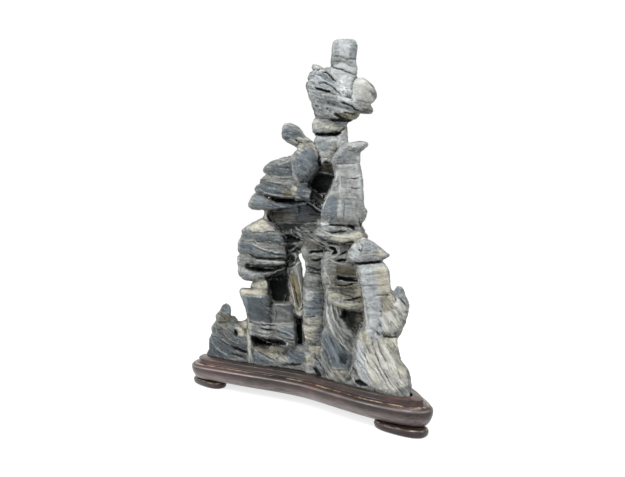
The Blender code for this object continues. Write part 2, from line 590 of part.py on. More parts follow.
def build_stand_body(parts, guides):
    lip = smooth_closed(LIP_PLAN, PLAN_SEGMENTS)
    rings = [np.column_stack([offset_outline(lip, out), np.full(len(lip), height)])
             for out, height in BODY_PROFILE]
    vertices, faces = stack_rings(rings)
    body = new_object("stand_body", vertices, faces, parts)
    seat = smooth_closed(SEAT_PLAN, PLAN_SEGMENTS)
    cutter = prism("seat_cutter", seat, SEAT_FLOOR, LIP_TOP + CUTTER_RISE, guides)
    cut_with(body, cutter, "DIFFERENCE")
    return body


def build_pad(name, x, y, half_length, half_width, turn, parts):
    angles = np.linspace(0, 2 * math.pi, PAD_SEGMENTS, endpoint=False)
    power = 2 / PAD_CORNER
    outline = np.column_stack([
        half_length * np.sign(np.cos(angles)) * np.abs(np.cos(angles)) ** power,
        half_width * np.sign(np.sin(angles)) * np.abs(np.sin(angles)) ** power])
    rings = [np.column_stack([offset_outline(outline, out), np.full(len(outline), height)])
             for out, height in PAD_PROFILE]
    vertices, faces = stack_rings(rings)
    pad = new_object(name, vertices, faces, parts)
    pad.location = (x * MM, y * MM, 0)
    pad.rotation_euler = (0, 0, math.radians(turn))
    return pad


def main():
    for item in list(bpy.data.objects):
        bpy.data.objects.remove(item)
    parts = bpy.data.collections.new("scholars_rock")
    guides = bpy.data.collections.new("cutters")
    bpy.context.scene.collection.children.link(parts)
    bpy.context.scene.collection.children.link(guides)

    stone_finish = principled("stone", STONE_COLOUR, STONE_ROUGHNESS)
    wood_finish = principled("wood", WOOD_COLOUR, WOOD_ROUGHNESS)

    stone = build_stone(parts, guides)
    body = build_stand_body(parts, guides)
    pads = [build_pad(*pad, parts) for pad in PADS]

    base = bpy.data.objects.new("base_middle", None)
    parts.objects.link(base)
    base.location = (-CENTRE_X * MM, -CENTRE_Y * MM, PAD_DROP * MM)
    for item in [stone, body, *pads, *guides.objects]:
        item.parent = base
    for item in guides.objects:
        item.hide_render = True
        item.display_type = "WIRE"
    stone.data.materials.clear()
    stone.data.materials.append(stone_finish)
    for item in [body, *pads]:
        item.data.materials.append(wood_finish)
        item.data.shade_smooth()
        item.data.set_sharp_from_angle(angle=SMOOTH_ANGLE)


main()
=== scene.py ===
# %% [markdown]
# # A scholar's rock on its carved stand
# A scholar's rock is a natural stone, chosen because wind and water have left it thin, wrinkled and
# pierced, and set upright in a wooden stand that is carved to fit its foot. The plain solids of the stone,
# the stand and its four pads come from the imported model. This lesson dresses them: the stone is carved
# again at a finer grain and stained, and the stand gets its smooth edge and its polish.
# All lengths are millimetres until the last moment, when a mesh is made.

# %% Load the imported model
import json
import math

import bpy
import bmesh
import numpy as np
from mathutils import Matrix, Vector, noise
from mathutils.kdtree import KDTree

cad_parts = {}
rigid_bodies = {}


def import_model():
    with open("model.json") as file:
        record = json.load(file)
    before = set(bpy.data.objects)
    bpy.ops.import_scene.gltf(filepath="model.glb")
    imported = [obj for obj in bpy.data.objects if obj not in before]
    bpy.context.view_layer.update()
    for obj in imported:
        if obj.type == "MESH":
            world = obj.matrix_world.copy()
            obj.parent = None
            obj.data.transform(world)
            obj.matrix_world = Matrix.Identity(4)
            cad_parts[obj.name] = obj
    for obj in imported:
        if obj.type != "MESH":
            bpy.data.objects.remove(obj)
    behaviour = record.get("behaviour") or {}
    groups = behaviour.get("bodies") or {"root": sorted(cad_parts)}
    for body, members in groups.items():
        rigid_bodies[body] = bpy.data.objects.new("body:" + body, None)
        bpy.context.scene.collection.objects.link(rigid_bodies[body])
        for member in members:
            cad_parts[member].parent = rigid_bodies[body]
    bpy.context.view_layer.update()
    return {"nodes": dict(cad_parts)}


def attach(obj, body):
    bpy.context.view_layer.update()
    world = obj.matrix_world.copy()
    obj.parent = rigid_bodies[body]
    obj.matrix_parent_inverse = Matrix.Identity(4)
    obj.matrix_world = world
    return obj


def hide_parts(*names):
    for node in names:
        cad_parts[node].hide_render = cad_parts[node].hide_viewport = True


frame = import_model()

MM = 0.001
print("packed nodes:", sorted(frame["nodes"]))

# %% [markdown]
# ## Where things stand
# The stone was drawn about its own axis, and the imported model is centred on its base, so one function
# moves drawing points into the world. Someone who looks at the stone's face stands at 38 degrees to the
# stand's long side. They see "across" to the right, "up" upwards and "sight" away from them.

# %% Drawing to world
CENTRE_X = 7.3
CENTRE_Y = 0.2
PAD_DROP = 1.0
FACE_TURN = math.radians(38)


def to_world(points):
    """Drawing millimetres to world metres."""
    return (np.asarray(points, dtype=float) - [CENTRE_X, CENTRE_Y, -PAD_DROP]) * MM


def face_axes(points):
    """Across, sight and up of drawing points."""
    x, y, up = np.asarray(points).T
    across = x * math.cos(FACE_TURN) + y * math.sin(FACE_TURN)
    sight = -x * math.sin(FACE_TURN) + y * math.cos(FACE_TURN)
    return across, sight, up


print("the drawing's origin in the world:", to_world([0, 0, 0]))

# %% [markdown]
# ## The camera, the floor and the light
# The eye looks straight at the stone's face, from about 0.63 m away and at half its height. A level
# camera keeps the stone's upright lines upright, and a slight lens shift frames it. A pale floor that
# runs far back, four soft panels and a white world give the plain light of a studio.

# %% Camera
EYE_DISTANCE = 631.8
EYE_ACROSS = 8.9
EYE_HEIGHT = 175.0
FRAME_WIDTH = 625
FOCAL_PIXELS = 600
SENSOR = 36.0
SHIFT_PIXELS = 8.5
NEAREST = 10

eye = np.array([EYE_ACROSS * math.cos(FACE_TURN) + EYE_DISTANCE * math.sin(FACE_TURN),
                EYE_ACROSS * math.sin(FACE_TURN) - EYE_DISTANCE * math.cos(FACE_TURN), EYE_HEIGHT])
camera_data = bpy.data.cameras.new("camera")
camera_data.lens = SENSOR * FOCAL_PIXELS / FRAME_WIDTH
camera_data.shift_y = -SHIFT_PIXELS / FRAME_WIDTH
camera_data.clip_start = NEAREST * MM
camera = bpy.data.objects.new("camera", camera_data)
camera.location = to_world([eye])[0]
camera.rotation_euler = (math.radians(90), 0, FACE_TURN)
bpy.context.scene.collection.objects.link(camera)
bpy.context.scene.camera = camera
print("camera at", tuple(round(value, 3) for value in camera.location))

# %% Lights
LIGHTS = [
    # name, from across, from sight, height, size, watts
    ("key", -300, -520, 760, 300, 5.6),
    ("fill", 560, -380, 420, 500, 2.2),
    ("side", -900, -230, 480, 260, 4.0),
    ("top", 40, 60, 900, 500, 5.5)]
LIT_HEIGHT = 160


def add_light(name, across, sight, height, size, watts):
    data = bpy.data.lights.new(name, "AREA")
    data.energy = watts
    data.size = size * MM
    lamp = bpy.data.objects.new(name, data)
    place = (across * math.cos(FACE_TURN) - sight * math.sin(FACE_TURN),
             across * math.sin(FACE_TURN) + sight * math.cos(FACE_TURN), height)
    lamp.location = Vector(place) * MM
    aim = Vector((0, 0, LIT_HEIGHT * MM)) - lamp.location
    lamp.rotation_euler = aim.to_track_quat("-Z", "Y").to_euler()
    bpy.context.scene.collection.objects.link(lamp)


for row in LIGHTS:
    add_light(*row)
world = bpy.data.worlds.new("studio")
world.use_nodes = True
background = world.node_tree.nodes["Background"]
background.inputs["Color"].default_value = (1.0, 1.0, 1.0, 1.0)
background.inputs["Strength"].default_value = 1.0
bpy.context.scene.world = world
bpy.context.scene.view_settings.view_transform = "Standard"
print("lamps:", [row[0] for row in LIGHTS])

# %% [markdown]
# ## Shader maths that reads like maths
# A finish is a small network of nodes. Building it node by node hides the recipe, so a socket is wrapped
# in a class whose operators add the Math node that works them out. Every other node comes from one
# method, which takes the node's type, its settings and what its sockets are fed.

# %% Wire
class Wire:
    """An output socket that can be reckoned with."""

    def __init__(self, finish, socket):
        self.finish = finish
        self.socket = socket

    def math(self, operation, first, second):
        settings = {"operation": operation}
        return self.finish.node("Math", settings, {0: first, 1: second})

    def __add__(self, other):
        return self.math("ADD", self, other)

    def __radd__(self, other):
        return self.math("ADD", other, self)

    def __sub__(self, other):
        return self.math("SUBTRACT", self, other)

    def __rsub__(self, other):
        return self.math("SUBTRACT", other, self)

    def __mul__(self, other):
        return self.math("MULTIPLY", self, other)

    def __rmul__(self, other):
        return self.math("MULTIPLY", other, self)

    def size(self):
        return self.finish.node("Math", {"operation": "ABSOLUTE"}, {0: self})

    def clamp(self):
        return self.finish.node("Clamp", {}, {"Value": self})

    def ramp(self, low, high):
        """0 below low, 1 above high, and smooth between."""
        settings = {"interpolation_type": "SMOOTHSTEP"}
        return self.finish.node("MapRange", settings, {"Value": self, "From Min": low, "From Max": high})


# %% Finish
# A Mix node's colour sockets share their names with others, so they go by place. An Attribute node
# gives its plain number third.
MIX_FACTOR, MIX_BELOW, MIX_ABOVE = 0, 6, 7
MIX_COLOUR = 2
ATTRIBUTE_NUMBER = 2


class Finish:
    """A material, and the one way that nodes are added to it."""

    def __init__(self, name):
        self.material = bpy.data.materials.new(name)
        self.material.use_nodes = True
        self.tree = self.material.node_tree
        self.shader = self.tree.nodes["Principled BSDF"]

    def feed(self, socket, value):
        if isinstance(value, Wire):
            self.tree.links.new(value.socket, socket)
        else:
            socket.default_value = value

    def node(self, kind, settings, inputs, output=0):
        made = self.tree.nodes.new("ShaderNode" + kind)
        for name, value in settings.items():
            setattr(made, name, value)
        for key, value in inputs.items():
            self.feed(made.inputs[key], value)
        return Wire(self, made.outputs[output])

    def blend(self, mask, below, above):
        """One colour over another where the mask is 1. Colours are (r, g, b) or wires."""
        colours = {MIX_BELOW: below, MIX_ABOVE: above}
        full = {key: value if isinstance(value, Wire) else (*value, 1.0) for key, value in colours.items()}
        settings = {"data_type": "RGBA", "clamp_factor": True}
        return self.node("Mix", settings, {MIX_FACTOR: mask, **full}, output=MIX_COLOUR)

    def noise(self, place, size, detail=4.0, roughness=0.55, distortion=0.0):
        """Clouds whose lumps are about size millimetres across."""
        inputs = {"Vector": place, "Scale": 1 / (size * MM), "Detail": detail, "Roughness": roughness,
                  "Distortion": distortion}
        return self.node("TexNoise", {}, inputs)

    def painted(self, name):
        """A value stored on the mesh's points."""
        return self.node("Attribute", {"attribute_name": name}, {}, output=ATTRIBUTE_NUMBER)

    def place(self):
        return self.node("TexCoord", {}, {}, output="Object")

    def stretched(self, place, scale):
        return self.node("Mapping", {}, {"Vector": place, "Scale": scale})

    def surface(self, **values):
        for name, value in values.items():
            self.feed(self.shader.inputs[name.replace("_", " ").title()], value)

    def bump(self, height, strength, distance):
        inputs = {"Height": height, "Strength": strength, "Distance": distance * MM}
        self.surface(normal=self.node("Bump", {}, inputs))


# %% [markdown]
# ## The floor
# A sheet of pale paper, wide enough to have no edge in sight. It could be lit until it is nearly white,
# but the stone would then be lit too strongly, so the paper glows a little by itself instead.

# %% Floor
FLOOR_HALF = 6000.0
PAPER_DARK = (0.26, 0.26, 0.26)
PAPER_LIGHT = (0.28, 0.28, 0.28)
PAPER_CLOUD = 400.0
PAPER_GLOW = 0.74


def build_floor():
    data = bpy.data.meshes.new("floor")
    corners = [(-FLOOR_HALF, -FLOOR_HALF), (FLOOR_HALF, -FLOOR_HALF), (FLOOR_HALF, FLOOR_HALF),
               (-FLOOR_HALF, FLOOR_HALF)]
    data.from_pydata([(x * MM, y * MM, 0.0) for x, y in corners], [], [(0, 1, 2, 3)])
    floor = bpy.data.objects.new("floor", data)
    bpy.context.scene.collection.objects.link(floor)
    paper = Finish("pale_paper")
    cloud = paper.noise(paper.place(), PAPER_CLOUD, detail=2.0)
    paper.surface(base_color=paper.blend(cloud, PAPER_DARK, PAPER_LIGHT), roughness=0.85)
    paper.shader.inputs["Emission Color"].default_value = (1.0, 1.0, 1.0, 1.0)
    paper.shader.inputs["Emission Strength"].default_value = PAPER_GLOW
    data.materials.append(paper.material)


build_floor()
print("floor:", 2 * FLOOR_HALF * MM, "m wide")

# %% [markdown]
# ## Outlines and rings
# The stand's lip, the recess and the stone's foot are closed smooth curves seen from above. They could be
# Bezier curves, but the recess has to follow the same points in three pieces, so one function makes the
# curve and others offset it and stack rings of it into a solid.

# %% Outlines
LIP_TOP = 29.5
SEAT_FLOOR = 26.0
SEAT_GAP = 0.35
ABOVE_LIP = 5

LIP_PLAN = [
    (-129, -31), (-118, -34.5), (-96, -33), (-62, -30), (-28, -26), (0, -23.5), (28, -24.5), (62, -30.5),
    (95, -36), (120, -38), (142, -36.5), (152, -32), (152, -24), (132, -3), (110, 13), (80, 27), (40, 36),
    (-10, 39), (-60, 36), (-98, 27), (-125, 10), (-138.5, -10), (-137, -22)]

SEAT_PLAN = [
    (-126, -19), (-112, -20), (-96, -18), (-78, -14), (-60, -17), (-44, -18), (-28, -11), (-8, -9),
    (12, -10), (34, -17), (54, -23), (75, -26), (98, -30), (120, -33), (135, -32), (141, -27), (138, -18),
    (124, -6), (102, 8), (76, 18), (40, 24), (-10, 26), (-60, 24), (-98, 16), (-120, 2), (-128, -10)]


def smooth_closed(points, count):
    """Points evenly spaced by parameter on a closed Catmull-Rom curve."""
    knots = np.array(points, dtype=float)
    total = len(knots)
    result = []
    for position in np.linspace(0, total, count, endpoint=False):
        index = int(position)
        t = position - index
        before, start, end, after = (knots[(index + shift) % total] for shift in (-1, 0, 1, 2))
        result.append(0.5 * (2 * start + (end - before) * t
                             + (2 * before - 5 * start + 4 * end - after) * t ** 2
                             + (3 * start - before - 3 * end + after) * t ** 3))
    return np.array(result)


def offset_outline(outline, distance):
    """Moves a counter-clockwise outline outwards by a distance."""
    along = np.roll(outline, -1, axis=0) - np.roll(outline, 1, axis=0)
    along /= np.linalg.norm(along, axis=1)[:, None]
    outward = np.column_stack([along[:, 1], -along[:, 0]])
    return outline + outward * distance


print("lip of", len(LIP_PLAN), "points, seat of", len(SEAT_PLAN))

# %% Rings and solids
def superellipse(count, corner):
    """Across and back of points on a rounded square of half size 1. A corner of 2 gives a circle."""
    angles = np.linspace(0, 2 * math.pi, count, endpoint=False)
    return [np.sign(wave) * np.abs(wave) ** (2 / corner) for wave in (np.cos(angles), np.sin(angles))]


def profiled(outline, profile):
    """Rings of an outline, one for each (distance outwards, height) of a profile."""
    return [np.column_stack([offset_outline(outline, out), np.full(len(outline), height)])
            for out, height in profile]


def stack_rings(rings):
    """Closed loft through rings of equal count, lowest first, with flat ends."""
    count = len(rings[0])
    faces = []
    for level in range(len(rings) - 1):
        low = level * count
        for i in range(count):
            j = (i + 1) % count
            faces.append((low + i, low + j, low + count + j, low + count + i))
    faces.append(tuple(range(count - 1, -1, -1)))
    top = (len(rings) - 1) * count
    faces.append(tuple(range(top, top + count)))
    return np.vstack(rings), faces


def new_piece(name, points, faces):
    """A mesh object in the world, from drawing points."""
    data = bpy.data.meshes.new(name)
    data.from_pydata(to_world(points).tolist(), [], faces)
    data.update()
    piece = bpy.data.objects.new(name, data)
    bpy.context.scene.collection.objects.link(piece)
    return piece


def prism(name, outline, bottom, top):
    """A straight solid between two heights."""
    return new_piece(name, *stack_rings(profiled(outline, [(0, bottom), (0, top)])))


def applied(piece, **modifiers):
    """The piece with each modifier made and applied in turn, as a new mesh."""
    for kind, settings in modifiers.items():
        change = piece.modifiers.new(kind, kind)
        for key, value in settings.items():
            setattr(change, key, value)
    bpy.context.view_layer.update()
    depsgraph = bpy.context.evaluated_depsgraph_get()
    data = bpy.data.meshes.new_from_object(piece.evaluated_get(depsgraph))
    piece.modifiers.clear()
    old = piece.data
    piece.data = data
    bpy.data.meshes.remove(old)
    return piece


# %% [markdown]
# ## A mass of the stone
# The stone looks like folded beds, so it is built the way a sculptor blocks one out in clay: lump by
# lump. A metaball or a sculpted sphere would round everything off. A loft of rounded sections keeps the
# outline of each lump exactly as drawn, and its surface can step in and out along the beds, as the soft
# layers have weathered back and the hard ones stand proud.

# %% The Mass class
SECTION_POINTS = 96
STATION_STEP = 1.0
FEWEST_STATIONS = 5
EASINGS = 6
WANDER_SIZE = 22
WANDER_HEIGHT = 3.0
JOINT_WIDTH = 0.14
LEAST_KEPT = 0.15
LEDGE_STRETCH = 12.9898
SCATTER = 43758.5453


def chance(numbers, stretch, seed):
    """A number from 0 to 1 for each layer, which looks drawn by lot but is always the same."""
    return np.mod(np.sin(numbers * stretch + seed) * SCATTER, 1.0)


def pulled_in(reach, shrink):
    """A reach from the middle made shorter, but never less than a part of itself."""
    return np.sign(reach) * np.maximum(np.abs(reach) - shrink, LEAST_KEPT * np.abs(reach))


def face_to_drawing(across, behind, up, follow, middle_across):
    """Face measures to drawing points. behind is measured from the stone's mid-plane."""
    turn = math.tan(FACE_TURN)
    sight = behind - turn * (follow * across + (1 - follow) * middle_across)
    x = across * math.cos(FACE_TURN) - sight * math.sin(FACE_TURN)
    y = across * math.sin(FACE_TURN) + sight * math.cos(FACE_TURN)
    return np.column_stack([x, y, np.broadcast_to(up, np.shape(x))])


class Mass:
    """One lofted lump of the stone.

    along is "up" for rows of (height, left, right, front, back), or "across" for rows of
    (place across, underside, top, front, back). front and back are measured from set_back behind the
    mid-plane. follow is 1 for a mass that runs on along the stand, and 0 for one that stands square to
    the face. corner is the section's squareness, 2 being an ellipse. dip is how steeply its beds fall to
    the right, in degrees, layer is their thickness and relief how far their ledges stand out.
    """

    def __init__(self, along, rows, set_back=0, follow=0, corner=2.6, dip=10, layer=6, relief=0.5):
        self.along = along
        self.rows = np.array(rows, dtype=float)
        self.set_back = set_back
        self.follow = follow
        self.corner = corner
        self.dip = math.radians(dip)
        self.layer = layer
        self.relief = relief

    def stations(self):
        """Rows filled in at an even step, eased so that the outline has no kinks."""
        places = self.rows[:, 0]
        count = max(FEWEST_STATIONS, int(round((places[-1] - places[0]) / STATION_STEP)) + 1)
        stops = np.linspace(places[0], places[-1], count)
        filled = np.column_stack([np.interp(stops, places, column) for column in self.rows.T])
        for _ in range(EASINGS):
            middle = filled[1:-1, 1:]
            filled[1:-1, 1:] = 0.5 * middle + 0.25 * (filled[:-2, 1:] + filled[2:, 1:])
        return filled

    def bed_depth(self, across, up):
        """How far the ledged surface lies inside the smooth one."""
        wander = np.array([noise.noise(Vector((a / WANDER_SIZE, u / WANDER_SIZE, self.layer)))
                           for a, u in zip(across, up)])
        height = up * math.cos(self.dip) + across * math.sin(self.dip) + WANDER_HEIGHT * wander
        index = np.floor(height / self.layer)
        part = height / self.layer - index
        uneven = chance(index, LEDGE_STRETCH, self.layer)
        joint = np.exp(-(part / JOINT_WIDTH) ** 2) + np.exp(-((1 - part) / JOINT_WIDTH) ** 2)
        return self.relief * (0.9 * uneven + 0.9 * joint + 0.3 * part - 0.6)

    def middle_across(self):
        if self.along == "up":
            return float(np.mean(self.rows[:, 1:3]))
        return float((self.rows[0, 0] + self.rows[-1, 0]) / 2)

    def loft(self):
        """Drawing points and faces."""
        wide, deep = superellipse(SECTION_POINTS, self.corner)
        rings = []
        for place, low, high, front, back in self.stations():
            reach_side, reach_deep = (high - low) / 2 * wide, (back - front) / 2 * deep
            line = np.full(SECTION_POINTS, place)
            side = (low + high) / 2 + reach_side
            across, up = (side, line) if self.along == "up" else (line, side)
            shrink = self.bed_depth(across, up)
            side = (low + high) / 2 + pulled_in(reach_side, shrink)
            behind = (front + back) / 2 + pulled_in(reach_deep, shrink)
            across, up = (side, line) if self.along == "up" else (line, side)
            rings.append(face_to_drawing(across, behind + self.set_back, up, self.follow,
                                         self.middle_across()))
        points, faces = stack_rings(rings)
        if self.along == "up":
            faces = [face[::-1] for face in faces]
        return points, [face[::-1] for face in faces]


print("sections of", SECTION_POINTS, "points, quick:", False)

# %% [markdown]
# ## The masses, from the top down
# Each list holds the lumps of one part of the stone. The rows are whole or half millimetres read
# off an elevation, which is how a carver would copy such a stone.

# %% Masses of the head
# The cap of the stone: a square chimney, three ledges to the left, the block that carries them, a knob
# and two spurs to the right.
HEAD_MASSES = [
    Mass("up", [(322, 31, 50, -10, 10), (329, 28, 53, -12, 12), (335, 28, 54, -13, 13),
                (342, 27, 52, -12, 12), (350, 28, 53, -13, 13), (357, 28, 54, -13, 13),
                (361, 28.5, 53, -12, 12), (363.5, 31, 51, -9, 9)],
         corner=4.0, dip=6, layer=9, relief=0.3),
    Mass("across", [(8, 341, 344, -3, 3), (11, 337, 345, -8, 7), (20, 331, 340, -11, 9),
                    (34, 320, 334, -14, 11)], dip=27, layer=5),
    Mass("across", [(4, 329, 332, -4, 4), (6, 325, 337, -11, 9), (12, 324, 338, -15, 13),
                    (22, 320, 334, -17, 14), (38, 312, 328, -16, 12)], dip=20, layer=5),
    Mass("across", [(2, 320, 325, -7, 5), (5, 316, 327, -13, 10), (12, 313, 326, -16, 14),
                    (24, 308, 322, -18, 15), (42, 300, 314, -17, 12)], dip=20, layer=4),
    Mass("up", [(283, 18, 40, -10, 10), (290, 11, 49, -14, 12), (298, 9, 58, -18, 15),
                (308, 6, 66, -20, 16), (316, 3, 66, -19, 15), (323, 4, 60, -17, 14),
                (330, 9, 51, -15, 13), (337, 18, 49, -13, 12)],
         corner=3.2, dip=24, layer=7, relief=0.6),
    Mass("up", [(298, 46, 66, -12, 12), (303, 47, 72, -15, 14), (309, 48, 71, -17, 14),
                (314, 48, 68, -17, 14), (318, 48, 64, -15, 12), (321.5, 50, 59, -10, 8)],
         set_back=-2, corner=2.4, dip=24, layer=8, relief=0.3),
    Mass("across", [(18, 302, 309, -16, 12), (34, 297, 307, -19, 13), (48, 293, 303, -20, 14),
                    (60, 291.5, 301, -15, 12), (66, 291, 299, -11, 9), (69, 291.5, 296, -6, 6)],
         dip=20, layer=4),
    Mass("across", [(20, 288, 300, -14, 12), (34, 281, 299, -18, 13), (44, 282, 295, -18, 12),
                    (51, 286, 294, -12, 9), (56, 289, 293, -6, 6)], dip=22, layer=4)]
print("head:", len(HEAD_MASSES), "masses")

# %% Masses of the neck
# The narrow neck: a boulder balanced on a wedge, with a core and a thin column behind them.
NECK_MASSES = [
    Mass("up", [(258, 14, 38, -4, 8), (270, 15, 38, -5, 8), (284, 14, 38, -5, 8)],
         set_back=3, corner=2.8, dip=0, layer=6),
    Mass("up", [(270, 13, 37, -11, 11), (275, 9, 40, -14, 13), (281, 8, 41, -15, 14),
                (287, 9, 42, -14, 13), (292, 14, 38, -10, 10)], corner=2.4, dip=-4, layer=8),
    Mass("up", [(250, 33, 47, -10, 10), (266, 32, 45, -9, 8), (278, 34, 44, -9, 8),
                (290, 35, 43, -8, 8)], set_back=6, corner=2.4, dip=0, layer=9),
    Mass("up", [(242, 18, 32, -10, 11), (251, 16, 33, -10, 10), (258, 13, 37, -13, 12),
                (264, 10, 38, -14, 12), (268, 10, 38, -13, 12), (271, 14, 36, -9, 8)],
         dip=-4, layer=9, relief=0.5)]
print("neck:", len(NECK_MASSES), "masses")

# %% Masses of the tower
# The pale upright block on the right, with its arm, its hip and the folded collar it stands on.
TOWER_MASSES = [
    Mass("across", [(34, 244, 250, -7, 8), (40, 246, 258, -9, 9), (47, 247, 262, -11, 10),
                    (56, 251, 263, -8, 8), (64, 258, 262, -4, 4)], dip=0, layer=9, relief=0.4),
    Mass("up", [(180, 30, 55, -15, 14), (185, 21, 57, -19, 17), (192, 17, 58, -21, 18),
                (200, 19, 60, -20, 18), (210, 24, 59, -19, 17), (221, 30, 59, -18, 16),
                (230, 31, 58, -16, 16), (238, 29, 56, -16, 15), (246, 27, 56, -16, 15),
                (252, 32, 55.5, -15, 13), (257, 36, 58, -13, 11), (261, 39.5, 61, -8, 8)],
         set_back=-3, corner=3.6, dip=0, layer=12, relief=0.25),
    Mass("up", [(180, 50, 57, -6, 6), (186, 50, 61, -9, 9), (192, 50, 64, -10, 9),
                (198, 50, 61, -8, 8), (206, 50, 58, -6, 6)], set_back=4, corner=2.6, dip=0, layer=7),
    Mass("across", [(14, 177, 183, -9, 8), (19, 174, 186, -16, 14), (32, 171, 180, -20, 17),
                    (48, 169, 179, -20, 17), (57, 168, 182, -15, 14), (61, 170, 176, -7, 8)],
         set_back=-3, dip=8, layer=5, relief=0.6),
    Mass("across", [(12, 169, 175, -9, 9), (20, 164, 176, -18, 16), (36, 161, 172, -23, 18),
                    (52, 161, 174, -21, 17), (60, 164, 174, -12, 12), (64, 166, 171, -6, 6)],
         set_back=-3, dip=8, layer=5, relief=0.6),
    Mass("across", [(-12, 171, 176, -5, 8), (0, 165, 173, -10, 13), (14, 160, 171, -15, 17),
                    (30, 156, 168, -18, 18), (46, 153, 163, -18, 18), (55, 152, 162, -13, 14)],
         dip=14, layer=5, relief=0.55)]
print("tower:", len(TOWER_MASSES), "masses")

# %% Masses of the roof
# The eaves on the left with the horn above them, and the walls behind, set back to leave a dark cleft.
ROOF_MASSES = [
    Mass("across", [(-46, 239, 243, -6, 6), (-41, 236, 248, -14, 13), (-33, 232, 251, -20, 18),
                    (-22, 229, 253, -22, 20), (-12, 228, 254, -20, 20), (2, 228, 254, -14, 18)],
         set_back=-2, follow=1, dip=12, layer=6, relief=0.65),
    Mass("across", [(-49, 226, 231, -8, 8), (-42, 222, 236, -18, 16), (-30, 219, 235, -22, 20),
                    (-14, 215, 234, -21, 20), (-2, 212, 232, -16, 18)],
         set_back=-2, follow=1, dip=14, layer=5, relief=0.65),
    Mass("across", [(-56, 218, 222, -7, 7), (-52, 215, 226, -14, 13), (-44, 212, 227, -20, 18),
                    (-32, 210, 225, -23, 20), (-18, 209, 223, -22, 20), (-2, 208, 221, -20, 18),
                    (10, 204, 216, -16, 16), (20, 196, 208, -10, 12)],
         set_back=-3, follow=1, dip=14, layer=5, relief=0.65),
    Mass("up", [(207, -9, 5, -12, 16), (216, -11, 3.5, -13, 16), (225, -9, 4.5, -14, 16),
                (231, -12, 10, -19, 16), (240, -14, 17, -20, 16), (250, -14, 17, -18, 16),
                (258, -9, 16, -15, 14), (265, -2, 13, -11, 11)],
         set_back=-3, corner=3.4, dip=30, layer=11, relief=0.6),
    Mass("up", [(196, -40, 34, -3, 14), (206, -42, 36, -2, 16), (220, -38, 37, -2, 16),
                (234, -32, 37, -3, 16), (248, -22, 36, -5, 14), (260, -4, 24, -8, 10)],
         set_back=12, follow=1, corner=3.2, dip=8, layer=8),
    Mass("up", [(250, -4, 18, -13, 12), (258, -4, 17, -12, 12), (264, -10, 16, -11, 10),
                (268, -19, 12, -10, 9), (272, -24, 3, -10, 9), (279, -24, -1, -10, 9),
                (285, -23, -6, -8, 8), (288, -21, -12, -4, 4)], corner=2.4, dip=12, layer=9),
    Mass("across", [(-63, 200, 206, -7, 7), (-60, 198, 213, -14, 13), (-54, 197, 217, -18, 15),
                    (-45, 197, 213, -18, 17), (-34, 196, 208, -14, 17), (-20, 194, 204, -7, 18),
                    (-6, 190, 203, -2, 18)],
         set_back=-3, follow=1, corner=2.5, dip=8, layer=7),
    Mass("up", [(150, -10, 26, -5, 14), (158, -16, 26, -5, 16), (170, -28, 24, -8, 18),
                (182, -38, 24, -10, 18), (192, -41, 26, -10, 18), (202, -38, 30, -9, 18),
                (212, -36, 32, -8, 16)],
         set_back=8, follow=1, corner=3.0, dip=2, layer=5, relief=0.7),
    Mass("up", [(176, -54, -36, -10, 14), (186, -48, -38, -8, 12), (192, -45, -38, -7, 10),
                (200, -45, -38, -6, 8)], set_back=2, follow=1, corner=2.3, dip=0, layer=8, relief=0.4)]
print("roof:", len(ROOF_MASSES), "masses")

# %% Masses of the bun
# The round of folded beds on the left, the knob under it and the twist that ties it to the stone.
BUN_MASSES = [
    Mass("across", [(-71, 170, 176, -9, 9), (-65, 164, 180, -18, 16), (-56, 161, 185, -24, 19),
                    (-46, 159, 189, -25, 20), (-34, 158, 182, -25, 20), (-24, 156, 173, -20, 18),
                    (-18, 155, 163, -9, 12)],
         set_back=-2, follow=1, corner=2.5, dip=6, layer=6, relief=0.7),
    Mass("across", [(-76, 150, 162, -8, 8), (-71, 146, 170, -18, 16), (-58, 143, 167, -25, 20),
                    (-43, 142, 163, -26, 21), (-29, 142, 161, -23, 20), (-19, 144, 158, -13, 15)],
         set_back=-4, follow=1, dip=8, layer=6, relief=0.7),
    Mass("across", [(-77, 136, 145, -8, 8), (-72, 132, 150, -17, 15), (-62, 134, 148, -22, 20),
                    (-45, 135, 144, -23, 20), (-28, 135, 144, -20, 19), (-20, 137, 143, -12, 14)],
         set_back=-3, follow=1, dip=4, layer=5, relief=0.65),
    Mass("across", [(-76, 124, 136, -8, 8), (-72, 120, 137, -14, 13), (-66, 118, 134, -17, 16),
                    (-56, 118, 130, -16, 16), (-46, 119, 130, -12, 15), (-34, 124, 135, -8, 15),
                    (-20, 130, 140, -5, 12)],
         set_back=-2, follow=1, dip=-4, layer=6, relief=0.55),
    Mass("up", [(124, -24, -4, -4, 7), (132, -26, -3, -6, 9), (142, -26, -4, -7, 10),
                (152, -24, -7, -7, 11), (164, -20, 2, -6, 13)],
         set_back=5, follow=1, corner=2.4, dip=-50, layer=5, relief=0.55),
    Mass("up", [(122, -70, -26, -6, 10), (134, -73, -22, -8, 12), (150, -72, -18, -10, 12),
                (166, -66, -20, -8, 12), (176, -56, -28, -6, 10)],
         set_back=3, follow=1, corner=3.0, dip=0, layer=6),
    Mass("across", [(-61, 110, 114, -4, 4), (-55, 108, 118, -8, 8), (-47, 107, 121, -9, 9),
                    (-40, 106, 123, -9, 10)], set_back=-2, follow=1, corner=2.3, dip=0, layer=5)]
print("bun:", len(BUN_MASSES), "masses")

